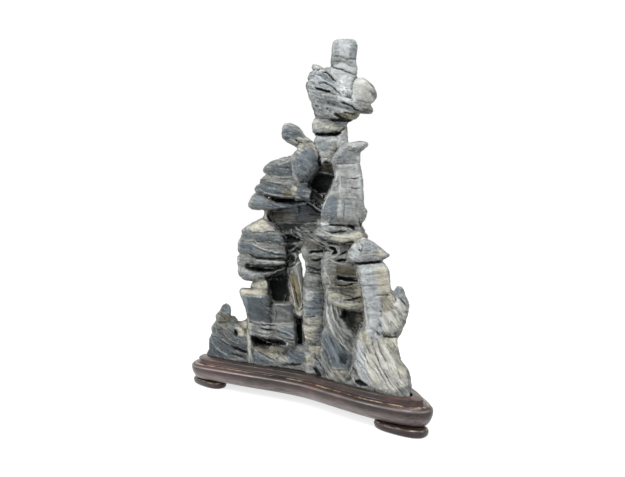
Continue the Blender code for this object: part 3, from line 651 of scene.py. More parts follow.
# %% Masses of the lower left
# The lower left: a smooth block, the step beside it, the shelf over a hollow, and the outer peak.
LEFT_MASSES = [
    Mass("up", [(60, -62, -34, -20, 16), (70, -63, -35, -20, 15), (80, -64, -36, -20, 15),
                (90, -67, -36, -20, 15), (99, -71, -37, -18, 15), (105, -75, -40, -15, 14),
                (109, -73, -46, -9, 9)],
         set_back=-5, follow=1, corner=4.0, dip=14, layer=14, relief=0.25),
    Mass("up", [(62, -38, -8, -16, 16), (72, -38, -9, -16, 16), (82, -38, -10, -16, 16),
                (92, -36, -12, -13, 14), (96, -33, -15, -8, 11)],
         set_back=-5, follow=1, corner=4.0, dip=12, layer=10, relief=0.3),
    Mass("across", [(-62, 64, 75, -14, 14), (-54, 59, 74, -20, 16), (-42, 55, 71, -22, 16),
                    (-28, 52, 69, -22, 16), (-16, 51, 66, -18, 15), (-9, 53, 62, -10, 12)],
         set_back=-6, follow=1, dip=20, layer=5, relief=0.6),
    Mass("up", [(24, -66, 6, -8, 20), (44, -65, 4, -8, 18), (60, -63, 2, -8, 14), (74, -63, 0, -8, 12)],
         set_back=8, follow=1, corner=3.0, dip=8, layer=8),
    Mass("across", [(-61, 24, 48, -18, 14), (-50, 24, 46, -20, 16), (-38, 22, 42, -18, 16),
                    (-22, 22, 42, -14, 16), (-4, 22, 44, -12, 16)],
         set_back=-3, follow=1, corner=2.4, dip=28, layer=6),
    Mass("up", [(24, -65, -50, -20, 18), (36, -65, -53, -20, 16), (47, -65, -56, -19, 14),
                (58, -65, -57, -16, 12), (70, -64, -59, -10, 10), (82, -66, -60, -5, 8)],
         set_back=-5, follow=1, corner=2.3, dip=60, layer=7, relief=0.5),
    Mass("up", [(70, -62, 2, -5, 12), (86, -58, 1, -5, 12), (100, -50, -8, -5, 12),
                (112, -48, -12, -5, 12), (126, -48, -14, -5, 12), (142, -48, -12, -5, 12),
                (154, -41, -10, -5, 12)],
         set_back=11, follow=1, corner=3.0, dip=6, layer=7),
    Mass("up", [(84, -9, 3, -8, 6), (90, -10, 2, -7, 6), (98, -12, 1, -6, 5), (110, -14, 0, -6, 4),
                (124, -16, 0, -5, 4), (134, -17, -1, -5, 4), (142, -16, -3, -4, 4)],
         set_back=-1, corner=2.3, dip=76, layer=6, relief=0.4),
    Mass("across", [(-86, 40, 68, -10, 10), (-76, 40, 70, -11, 11), (-67, 40, 73, -10, 11),
                    (-61, 40, 79, -8, 10)], set_back=-3, follow=1, dip=20, layer=7),
    Mass("up", [(26, -116, -60, -9, 10), (33, -114, -60, -9, 10), (38, -112, -61, -9, 10),
                (46, -113, -62, -9, 9), (52, -111, -63, -9, 9), (56, -108, -64, -8, 8),
                (61, -109.5, -65, -9, 8), (67, -107, -70, -8, 8), (70, -101, -76, -7, 7),
                (76, -105, -83, -7, 6), (80, -101, -84, -6, 6), (83, -96, -83, -5, 5),
                (86, -97, -83, -6, 6), (88, -95, -84, -5, 5), (91, -92, -87, -3, 3)],
         set_back=-18, follow=1, dip=22, layer=7, relief=0.6),
    Mass("up", [(24, -105, -60, -16, 16), (40, -104, -60, -15, 14), (52, -102, -62, -14, 12),
                (62, -100, -66, -12, 9), (70, -98, -76, -9, 6), (76, -95, -80, -5, 3)],
         set_back=-4, follow=1, dip=18, layer=8, relief=0.8)]
print("left:", len(LEFT_MASSES), "masses")

# %% Masses of the centre
# The upright leaves in the middle: a smooth column, a ribbed one, and a shell-shaped blade.
CENTRE_MASSES = [
    Mass("up", [(22, 1, 29, -18, 18), (50, 0, 27, -16, 17), (72, -1, 25, -15, 16), (100, -1, 23, -15, 15),
                (116, -1, 22, -14, 14), (122, -1, 22, -14, 14), (127, 0, 23, -13, 13),
                (134, 2, 24, -12, 14), (142, 1, 26, -13, 15), (148, -2, 28, -13, 16),
                (154, -4, 30, -12, 16), (166, 2, 32, -10, 16)],
         corner=2.9, dip=4, layer=8, relief=0.5),
    Mass("across", [(-20, 22, 42, -10, 6), (-12, 22, 54, -14, 10), (-2, 22, 55, -16, 12),
                    (10, 22, 51, -20, 12), (20, 22, 46, -22, 8)],
         follow=1, corner=2.4, dip=26, layer=7),
    Mass("up", [(22, 18, 72, -16, 22), (60, 20, 68, -12, 20), (85, 20, 66, -12, 18),
                (105, 21, 62, -12, 18), (125, 18, 58, -12, 17), (140, 18, 55, -12, 16),
                (150, 20, 54, -11, 15), (160, 22, 54, -10, 14)],
         set_back=2, corner=3.0, dip=6, layer=8, relief=0.6),
    Mass("up", [(40, 30, 84, -8, 10), (80, 34, 82, -8, 10), (120, 34, 76, -8, 10),
                (150, 30, 66, -8, 9), (162, 30, 58, -6, 7)],
         set_back=6, follow=1, corner=3.0, dip=6, layer=9),
    Mass("up", [(80, 19, 29, -7, 10), (104, 21, 29, -8, 10), (122, 20, 29, -8, 10),
                (140, 17, 25, -7, 9), (148, 18, 24, -4, 6)],
         set_back=-9, corner=2.3, dip=50, layer=6, relief=0.5),
    Mass("across", [(24, 102, 114, -6, 10), (34, 100, 114, -9, 12), (46, 96, 108, -10, 12),
                    (54, 96, 107, -9, 12), (61, 98, 106, -6, 10)],
         set_back=-8, dip=8, layer=6, relief=0.6),
    Mass("up", [(24, 22, 62, -16, 18), (33, 22, 62, -17, 16), (42, 18, 61, -18, 16),
                (55, 16, 60, -18, 16), (70, 18, 55, -15, 14), (82, 21, 47, -14, 13),
                (93, 22, 42, -12, 12), (101, 23, 35, -9, 9), (106, 25, 30, -5, 6)],
         set_back=-11, corner=2.5, dip=56, layer=6, relief=0.65)]
print("centre:", len(CENTRE_MASSES), "masses")

# %% Masses of the right side
# The right side: a pointed cap, the banded column under it, the thumb, and the draped flank.
RIGHT_MASSES = [
    Mass("across", [(43, 146, 154, -8, 8), (49, 142, 164, -16, 14), (57, 141, 169, -20, 17),
                    (67, 142, 164, -20, 17), (75, 145, 158, -15, 14), (80, 148, 154, -7, 7),
                    (83, 150, 152, -3, 3)], set_back=-6, corner=2.5, dip=12, layer=7),
    Mass("up", [(56, 55, 88, -16, 17), (70, 56, 89, -18, 17), (90, 58, 88, -19, 17),
                (108, 57, 86, -19, 17), (120, 55, 83, -19, 17), (132, 53, 82, -19, 17),
                (139, 51, 81, -17, 16), (144, 51, 77, -12, 12)],
         set_back=-6, corner=3.4, dip=-4, layer=7, relief=0.4),
    Mass("up", [(76, 72, 90, -13, 12), (83, 71, 93, -16, 14), (92, 71, 96, -17, 15),
                (100, 72, 99, -17, 15), (107, 73, 99, -16, 14), (113, 76, 96, -13, 11),
                (118, 80, 94, -8, 8)], set_back=-6, corner=2.6, dip=50, layer=7, relief=0.6),
    Mass("up", [(108, 84, 95, -8, 8), (116, 84, 95, -8, 8), (120, 85, 94, -6, 6),
                (123, 87, 91, -3, 3)], set_back=-6, corner=2.3, layer=9, relief=0.2),
    Mass("up", [(22, 58, 96, -28, 22), (32, 54, 97, -28, 22), (40, 48, 97, -27, 22),
                (48, 46, 97, -26, 21), (56, 46, 90, -22, 20), (66, 48, 88, -20, 19),
                (76, 52, 87, -16, 17), (84, 55, 86, -12, 14)],
         set_back=-12, follow=1, dip=54, layer=7, relief=0.7),
    Mass("up", [(29, 92, 97, -4, 6), (33, 88, 99, -8, 9), (40, 87, 98, -8, 10),
                (48, 87, 94, -4, 6)], set_back=-16, corner=2.2, layer=9, relief=0.2),
    Mass("across", [(46, 22, 42, -8, 10), (56, 22, 41, -12, 12), (68, 22, 38, -14, 13),
                    (82, 22, 34, -14, 13), (94, 22, 29, -8, 10)],
         set_back=-24, follow=1, dip=50, layer=5, relief=0.55)]
print("right:", len(RIGHT_MASSES), "masses")

# %% [markdown]
# ## Fusing the masses
# The lumps overlap. Boolean unions of so many ledged lofts would be slow and would leave knife edges, so
# they are fused by a voxel remesh, which also gives an even mesh for the finer carving that follows. The
# remesh can leave closed bubbles inside, so only the largest shell is kept.

# %% Fuse
VOXEL = 0.8
FOOT_POINTS = 160
# The stone's foot reaches below the seat's floor and above the lip, and is trimmed to the seat later.
FOOT_PROFILE = [(-2.0, SEAT_FLOOR - 3), (-2.0, LIP_TOP + 1.5)]


def fuse(masses):
    """One even mesh round all the masses and the foot."""
    foot = stack_rings(profiled(smooth_closed(SEAT_PLAN, FOOT_POINTS), FOOT_PROFILE))
    points, faces, start = [], [], 0
    for more_points, more_faces in [mass.loft() for mass in masses] + [foot]:
        points.append(more_points)
        faces.extend(tuple(start + index for index in face) for face in more_faces)
        start += len(more_points)
    piece = new_piece("scholars_stone", np.vstack(points), faces)
    return applied(piece, REMESH={"mode": "VOXEL", "voxel_size": VOXEL * MM})


def keep_outer_shell(piece):
    """Removes every loose part but the largest."""
    data = piece.data
    edges = np.empty(len(data.edges) * 2, dtype=np.int64)
    data.edges.foreach_get("vertices", edges)
    first, second = edges.reshape(-1, 2).T
    label = np.arange(len(data.vertices))
    while True:
        lowest = np.minimum(label[first], label[second])
        lower = label.copy()
        np.minimum.at(lower, first, lowest)
        np.minimum.at(lower, second, lowest)
        lower = lower[lower]
        if np.array_equal(lower, label):
            break
        label = lower
    names, sizes = np.unique(label, return_counts=True)
    keep = label == names[np.argmax(sizes)]
    shape = bmesh.new()
    shape.from_mesh(data)
    shape.verts.ensure_lookup_table()
    spare = [shape.verts[index] for index in np.flatnonzero(~keep)]
    bmesh.ops.delete(shape, geom=spare, context="VERTS")
    shape.to_mesh(data)
    shape.free()
    return len(names) - 1


masses = (HEAD_MASSES + NECK_MASSES + TOWER_MASSES + ROOF_MASSES + BUN_MASSES + LEFT_MASSES
          + CENTRE_MASSES + RIGHT_MASSES)
stone = fuse(masses)
print("loose shells removed:", keep_outer_shell(stone))
print("fused stone:", len(masses), "masses,", len(stone.data.polygons), "faces")

# %% [markdown]
# ## Reading and writing a mesh as arrays
# Carving moves hundreds of thousands of points. A loop over them in Python would take minutes, and numpy
# does it in moments, so the points and normals are read into arrays, moved and written back.

# %% Arrays
def read_points(piece):
    """Drawing points and normals of every vertex."""
    count = len(piece.data.vertices)
    places, normals = np.empty(count * 3), np.empty(count * 3)
    piece.data.vertices.foreach_get("co", places)
    piece.data.vertex_normals.foreach_get("vector", normals)
    points = places.reshape(-1, 3) / MM + [CENTRE_X, CENTRE_Y, -PAD_DROP]
    return points, normals.reshape(-1, 3)


def write_points(piece, points):
    piece.data.vertices.foreach_set("co", to_world(points).ravel())
    piece.data.update()


def read_edges(piece):
    pairs = np.empty(len(piece.data.edges) * 2, dtype=np.int64)
    piece.data.edges.foreach_get("vertices", pairs)
    return pairs.reshape(-1, 2).T


def averaged(values, edges, rounds):
    """Values evened out between neighbours, a number of times over."""
    first, second = edges
    count = len(values)
    valence = np.bincount(first, minlength=count) + np.bincount(second, minlength=count)
    result = np.array(values, dtype=float)
    columns = result.reshape(count, -1)
    for _ in range(rounds):
        total = np.column_stack([
            np.bincount(first, column[second], count) + np.bincount(second, column[first], count)
            for column in columns.T])
        columns = 0.5 * columns + 0.5 * total / valence[:, None]
    return columns.reshape(result.shape)


def clouds(points, size, octaves=3, seed=0.0):
    """Fractal noise at each point, mostly between -1 and 1."""
    shift = Vector((seed, 2 * seed, -seed))
    return np.array([noise.fractal(Vector(point) + shift, 0.9, 2.1, octaves) for point in points / size])


def layered_clouds(points, layers):
    """Clouds on clouds, from rows of strength, size, octaves and seed."""
    return sum(strength * clouds(points, size, octaves, seed) for strength, size, octaves, seed in layers)


def smooth_step(values, low, high):
    """0 below low, 1 above high, and smooth between."""
    part = np.clip((values - low) / (high - low), 0, 1)
    return part * part * (3 - 2 * part)


print("edges of the fused stone:", read_edges(stone).shape[1])


# %% [markdown]
# ## Beds
# The big ledges are in the masses. The fine ones, a millimetre or two thick, are cut now: every point
# looks up the mass that it came from, and takes that lump's dip. Then its height across the beds says
# which layer it is in, and each layer has worn back by its own chance amount.

# %% Cut the fine beds
EVENED_REACH = 6
LOFT_SHARE = 3
# Thickness as a share of the mass's layers, depth in millimetres, and seed of each size of bed.
FINE_BEDS = [(0.5, 0.36, 1.7), (0.23, 0.20, 4.1)]
FINE_JOINT = 0.16
BED_STRETCH = 78.233
TONE_SEED = 3.0
BED_WANDER = [(2.2, 26.0, 2, 5.0), (0.5, 7.0, 2, 9.0)]
ROUGH_RANGE = (0.35, 1.1)
CREASE_WIDTH = 0.13
CREASE_STRETCH = [0.15, 0.15, 0.36]
CREASE_DEPTH = 0.8
PROUD = 0.1


def nearest_mass(points, masses):
    """The number of the mass whose surface lies nearest each point."""
    lofts = [mass.loft()[0][::LOFT_SHARE] for mass in masses]
    tree = KDTree(sum(len(loft) for loft in lofts))
    for number, loft in enumerate(lofts):
        for place in loft:
            tree.insert(place, number)
    tree.balance()
    return np.array([tree.find(point)[1] for point in points])


def bed_relief(points, owner, masses):
    """How far each point is worn back, how pale its bed is, its height across the beds, its roughness."""
    across, _, up = face_axes(points)
    dip, layer, relief = np.array([(mass.dip, mass.layer, mass.relief) for mass in masses])[owner].T
    wander = layered_clouds(points, BED_WANDER)
    rough = np.clip(2 * relief, *ROUGH_RANGE)
    height = up * np.cos(dip) + across * np.sin(dip) + wander
    worn = np.zeros(len(points))
    tone = np.zeros(len(points))
    for share, depth, seed in FINE_BEDS:
        step = height / (layer * share)
        index = np.floor(step)
        part = step - index
        joint = np.exp(-(np.minimum(part, 1 - part) / FINE_JOINT) ** 2)
        worn += depth * (chance(index, BED_STRETCH, seed) - 0.5 + 0.7 * joint)
        tone += 0.5 * chance(index, BED_STRETCH, seed + TONE_SEED)
    return worn * rough, tone, height, rough


def creases(points, height):
    """1 along the wandering lines where one bed has parted from the next, 0 away from them."""
    along = np.column_stack([points[:, 0], points[:, 1], height]) * CREASE_STRETCH
    crease = np.clip(1 - np.abs(clouds(along, 1.0, 2, 13.0)) / CREASE_WIDTH, 0, 1)
    return crease * smooth_step(clouds(points, 14.0, 2, 3.0), -0.2, 0.3)


write_points(stone, averaged(read_points(stone)[0], read_edges(stone), round(EVENED_REACH / VOXEL)))
points, normals = read_points(stone)
owner = nearest_mass(points, masses)
worn, _, height, rough = bed_relief(points, owner, masses)
worn += CREASE_DEPTH * rough * creases(points, height) - PROUD
write_points(stone, points - normals * worn[:, None])
print("beds cut up to", round(float(worn.max()), 2), "mm deep")

# %% [markdown]
# ## Cracks, veins and hollows drawn on the face
# Beds alone look like a machine's work. The real face is crossed by dark cracks, by pale mineral veins
# that stand proud, and by hollows that go black. They are drawn as a carver would chalk them on the
# stone: short lines on an elevation, the view of the face from the eye, at the scale of the stone's
# middle. Each has a width and a depth in millimetres, then its path, which is written as an SVG file
# would write it: across,up in millimetres for each point, with a space between points.

# %% Cracks of the head and neck
HEAD_CRACKS = [
    (1.3, 1.3, "29,357.5 36,358 42,356.5 47,354"),
    (1.5, 1.7, "44,355.5 49,354.5 54,355"),
    (1.2, 1.2, "30,353 36,352 42,351.5 48,348.5 54,345.5"),
    (2.0, 2.2, "28,349 31,346 38,344.5 43,343"),
    (1.6, 1.8, "41,342.5 48,340.5 55,337.5"),
    (1.6, 2.4, "18,342.5 24,340 27,337 34,331"),
    (1.3, 1.4, "11,339 18,337 24,335 28,333"),
    (1.5, 1.8, "13,330.5 20,329.5 28,327 33,323 37,319 40,316"),
    (2.4, 4.0, "12,324.5 18,322.5 23,321 28,320"),
    (1.2, 1.0, "28,320 33,317.5 36,313"),
    (1.2, 1.0, "5,318 10,314 16,312 24,313"),
    (2.0, 2.0, "12,306 16,304.5"),
    (1.1, 1.0, "16,304.5 22,303 27,301 30,298"),
    (2.0, 2.0, "23.5,303 25.5,303"),
    (2.2, 1.6, "49,312.5 52,312.5"),
    (2.0, 3.2, "38,309.5 45,308 50,306 54,302 59,300"),
    (1.6, 1.4, "69,323 72,318 70,315"),
    (1.6, 1.6, "54,312 60,311 66,309.5 72,309"),
    (1.3, 1.2, "55,306.5 62,306.5 72,305.5"),
    (1.4, 1.4, "60,303.5 66,302 72,300"),
    (3.4, 5.0, "28,291.5 34,290.5 42,291 51,289.5"),
    (2.6, 4.0, "32,297.5 38,293.5 45,291"),
    (1.4, 1.4, "16,292.5 24,292.5 30,291"),
    (2.0, 2.4, "41,298.5 47,298 53,297"),
    (2.0, 1.6, "31,279 36,278 43,283"),
    (3.6, 6.0, "14,276 18,275 26,275.5 34,276 38,277.5")]
print("head:", len(HEAD_CRACKS), "cracks")

# %% Cracks of the horn, the eaves and the tower
UPPER_CRACKS = [
    (2.0, 2.0, "-10,270 -6,268 0,266.5"),
    (1.6, 1.8, "-8,263 -5,267"),
    (3.0, 5.0, "16.5,253 16.5,246 16.5,242"),
    (3.2, 3.0, "21,247 26,245"),
    (1.6, 2.0, "-4,225.5 0,225 4.5,225.5"),
    (1.2, 1.0, "-33,242 -28,241 -22,240 -14,241"),
    (1.5, 1.4, "-40,235.5 -36,233 -28,230 -22,229 -14,229"),
    (1.2, 1.2, "-37,231.5 -30,228 -24,226.5 -16,226"),
    (1.2, 1.2, "-40,226.5 -34,223.5 -28,222 -20,219.5 -15,219"),
    (1.2, 1.2, "-48,219 -44,215 -40,212.5 -35,210.5"),
    (4.6, 7.0, "-33,207.5 -26,206 -18,205.5 -10,206"),
    (2.0, 4.0, "-8,207 -2,206.3 2,205"),
    (2.4, 4.0, "3,203 9,199 14,195 18,192"),
    (1.2, 1.2, "-41,212 -37,211 -33,208"),
    (1.4, 1.6, "-38,203 -33,202 -26,198 -20,197"),
    (2.0, 1.6, "46.5,258.5 50,258 54,258.5"),
    (1.1, 1.5, "31,245 42,244.5 55,245"),
    (1.3, 2.0, "48,229 53,229 59,230.5"),
    (1.0, 1.2, "42,226.5 48,229"),
    (1.1, 1.4, "49,219 55,218.5 60,219"),
    (1.0, 1.0, "43,205 43,197 41,188"),
    (1.2, 1.2, "8,219.5 14,217 19,214.5 24,211.5"),
    (1.2, 1.6, "-30,184 -18,184.5 -8,183 4,182.5 13,181"),
    (1.0, 0.8, "-14,188.5 0,188 14,187.5"),
    (1.0, 0.8, "-10,186 4,185.5 15,185"),
    (1.2, 1.6, "-38,197.5 -30,196.5 -20,197 -12,197.5"),
    (1.8, 1.2, "30,220 32,217 35,216"),
    (1.6, 3.6, "26,180.5 34,180 43,180"),
    (3.4, 4.2, "46,180 50,178.5 53,176"),
    (1.2, 2.4, "57.5,188 58.5,183 60,178"),
    (1.4, 1.4, "16,179 22,174 30,171.5"),
    (1.8, 2.6, "26,170.5 32,172 38,173.5 45,174"),
    (1.8, 2.4, "14,170 18,166 24,162.5 32,161 41,161 50,162.5 55,161"),
    (3.0, 5.0, "27,157.5 32,155 33.5,151.5 30,150"),
    (2.2, 3.0, "46,153 42,151 39,149.5"),
    (3.2, 5.0, "35,142.5 39,143 44,143.5"),
    (2.2, 2.6, "57,154.5 61,152.5"),
    (1.2, 1.2, "61,152.5 68,153 75,155 79,151"),
    (1.2, 1.0, "60,162 62,157 61,153"),
    (2.4, 4.5, "53,140.5 60,139.5 68,140.5 76,141 81,142"),
    (1.3, 1.4, "48,149 54,145 61,142"),
    (1.2, 1.2, "56,165 59,162 61,158")]
print("upper:", len(UPPER_CRACKS), "cracks")

# %% Cracks of the bun, the twist and the middle
MIDDLE_CRACKS = [
    (2.2, 3.4, "-39,191 -37,187 -34.5,183"),
    (1.3, 1.2, "-44,176.5 -40,176 -36,178"),
    (1.2, 1.2, "-60,175 -52,172.2 -44,172 -36,173.5 -26,172"),
    (1.2, 1.2, "-66,163 -58,162.3 -50,162.3 -42,163 -30,166 -24,168"),
    (1.4, 1.5, "-56,158.5 -48,155 -40,152 -30,149.3 -20,148"),
    (2.0, 2.8, "-60,151 -54,148 -49,145.5 -42,145 -34,144.7 -20,145.5"),
    (5.4, 6.5, "-60,137.5 -54,136 -46,134 -38,133.5 -28,135 -21,137.5"),
    (1.4, 1.6, "-42,124.5 -34,128 -26,130 -18,134"),
    (1.4, 1.8, "-38,127.5 -30,132 -22,136"),
    (1.4, 2.0, "-18,158 -15,155.5 -10,158"),
    (1.4, 2.4, "-19,151 -14,149 -9,153.5"),
    (2.6, 4.0, "-15,147 -12,144 -11,141"),
    (1.4, 2.2, "-18,139 -14,136 -9,139"),
    (1.4, 1.8, "-36,196 -28,195.5 -20,196"),
    (1.4, 1.8, "-12,183.5 -4,183 6,183 14,184"),
    (1.3, 1.6, "-20,181 -12,180.3 -2,180.5"),
    (1.4, 1.8, "0,172 7,172.7 14,171.5"),
    (1.8, 2.4, "4,191 12,191 18,190"),
    (1.5, 2.0, "-9,179 -4,174.5 4,168.5 14,162 26,157"),
    (2.8, 4.5, "6,151.7 14,152.3 24,153.5"),
    (2.4, 3.0, "8,144 13,143 20,145.5"),
    (1.6, 2.0, "1,136.5 10,134.5 15,132.5 18,134"),
    (1.6, 2.0, "5,130.7 12,129.5 19,128.5"),
    (3.0, 4.0, "34,124.5 40,123.5 48,121.8 56,121"),
    (1.6, 2.0, "42,125.5 50,124.5 56,125"),
    (2.0, 2.4, "33,117 39,116.3 46,117 53,118"),
    (1.4, 1.6, "32,109 40,108 48,105.5 53,102"),
    (2.2, 3.0, "44,101 50,101 56,103 61,104.5"),
    (1.2, 1.0, "22,121 28,116 34,112"),
    (3.4, 5.0, "42,91 43,87 43.5,83"),
    (1.6, 1.6, "42,72 50,69.5 59,70"),
    (1.2, 1.4, "0,83 6,83.5 12,84")]
print("middle:", len(MIDDLE_CRACKS), "cracks")

# %% Cracks of the right side
RIGHT_CRACKS = [
    (1.3, 1.2, "34,71 40,64 48,57 54,49"),
    (1.3, 1.2, "28,80 33,70 38,60 44,51"),
    (1.2, 1.2, "24,70 29,58 36,48 46,42"),
    (1.1, 0.9, "58,137 64,136.5 71,137"),
    (1.3, 1.1, "64,128 72,128.5 82,129"),
    (1.1, 0.9, "60,122 70,121 86,122"),
    (1.1, 0.9, "60,116.5 72,117 90,116"),
    (1.1, 0.9, "61,111.5 75,112 88,111"),
    (1.5, 1.4, "74,107 82,106.3 90,106.5"),
    (1.0, 0.7, "64,100 76,101 92,100"),
    (1.6, 1.6, "91,110 95,105 97,98"),
    (1.4, 1.3, "100,104 105,98 108,92"),
    (1.6, 1.4, "104,89 108,87"),
    (1.6, 1.8, "75,69 80,63.5"),
    (2.4, 2.4, "83,63.5 90,62.5 98,62"),
    (1.4, 1.5, "40,71 46,66.5 55,60"),
    (1.2, 1.3, "36,67 42,61 50,54.5"),
    (1.2, 1.3, "31,63 36,57 42,50 47,45"),
    (1.2, 1.2, "30,95 31,86 35,77 41,69"),
    (1.2, 1.2, "35,93 37,86 40,78"),
    (1.3, 1.5, "57,53 61,47 66,39 69,31"),
    (1.3, 1.5, "54,41 59,35 65,27 70,18"),
    (1.3, 1.5, "61,62 66,53 70,44"),
    (1.3, 1.4, "70,66 72,55 76,44 80,34"),
    (1.3, 1.4, "77,62 79,52 83,42 88,33"),
    (1.3, 1.5, "73,38 77,30 83,20 89,11"),
    (1.3, 1.5, "76,42 81,31 87,20 94,9"),
    (1.3, 1.2, "84,50 88,42 92,32 96,20"),
    (1.4, 1.4, "96,36 99,27 102,16"),
    (2.6, 2.5, "57,18 61,14 67,11"),
    (1.4, 1.6, "52,30 55,24 58,19"),
    (1.6, 1.6, "98,49 99,44"),
    (1.8, 2.2, "11,29 14,25 18,21.5"),
    (1.6, 2.0, "12,44 14,38 18,32 22,26 27,19"),
    (1.6, 1.8, "16,42 20,37 24,31 30,23"),
    (1.2, 1.0, "30,28 38,26.5 46,29 50,34")]
print("right:", len(RIGHT_CRACKS), "cracks")

# %% Cracks of the left side
LEFT_CRACKS = [
    (1.2, 1.2, "-20,48 -12,41 -4,37 2,35"),
    (1.2, 1.2, "-16,50 -8,46 2,45"),
    (1.4, 1.6, "-96,73 -92,70 -85,70"),
    (1.6, 1.6, "-98,64 -90,62 -84,61.5"),
    (1.8, 2.0, "-79,86 -75,82.5 -71,79"),
    (2.0, 1.8, "-90,79 -86,77.5 -80,78"),
    (3.0, 3.0, "-72,69 -71,66 -71,64"),
    (1.2, 1.2, "-93,74 -91,66 -87,60 -80,54"),
    (1.5, 1.6, "-90,60 -85,57 -80,53"),
    (1.2, 1.2, "-97,62 -93,56 -88,50 -82,46"),
    (1.3, 1.3, "-100,53 -95,48 -90,43"),
    (2.6, 3.2, "-75,52.5 -69,50 -66,48 -60,46"),
    (1.8, 2.2, "-77,44.5 -70,43 -63,41"),
    (1.2, 1.3, "-86,66 -82,60.5 -76,56.5 -67,52"),
    (1.1, 0.9, "-82,72 -76,68 -70,60 -64,56"),
    (1.4, 1.5, "-47,101 -43,97 -38,94 -33,95"),
    (1.2, 1.2, "-46,97 -41,92 -36,88"),
    (1.3, 1.4, "-31,95 -29,88 -30,79"),
    (1.6, 1.8, "-60,79 -52,76 -46,75"),
    (1.8, 2.2, "-46,75.3 -38,75 -30,74.5"),
    (1.8, 2.6, "-46,71.3 -38,70 -30,69.3"),
    (1.5, 1.6, "-54,69 -46,66 -38,65 -32,66.5"),
    (6.0, 7.0, "-54,61 -48,59 -40,57.5 -30,57 -20,56"),
    (1.5, 1.6, "-51,48 -40,43 -33,38.5 -28,36"),
    (1.5, 1.4, "-54,43 -45,37 -37,33"),
    (1.2, 1.3, "-29,48 -22,41 -17,36"),
    (1.2, 1.3, "-25,50 -18,43.5 -13,37"),
    (1.2, 1.3, "-33,46 -27,40 -21,34"),
    (2.2, 2.4, "-14,34 -8,32.5 -2,34"),
    (1.5, 1.6, "-29,64 -20,60.5 -9,58"),
    (1.3, 1.3, "-30,70 -22,67 -14,63"),
    (7.0, 9.0, "-8,83 -6,76 -4,67 -2,58"),
    (1.6, 2.0, "-11,118 -8,106 -6,96"),
    (1.4, 1.4, "0,97 -2,93 -4,90"),
    (1.3, 1.4, "4,60 9,56 14,52.5 20,54"),
    (1.3, 1.4, "-2,76 4,75 10,71"),
    (1.3, 1.4, "0,66 6,62 14,60")]

CRACKS = HEAD_CRACKS + UPPER_CRACKS + MIDDLE_CRACKS + RIGHT_CRACKS + LEFT_CRACKS
print("cracks drawn:", len(CRACKS))

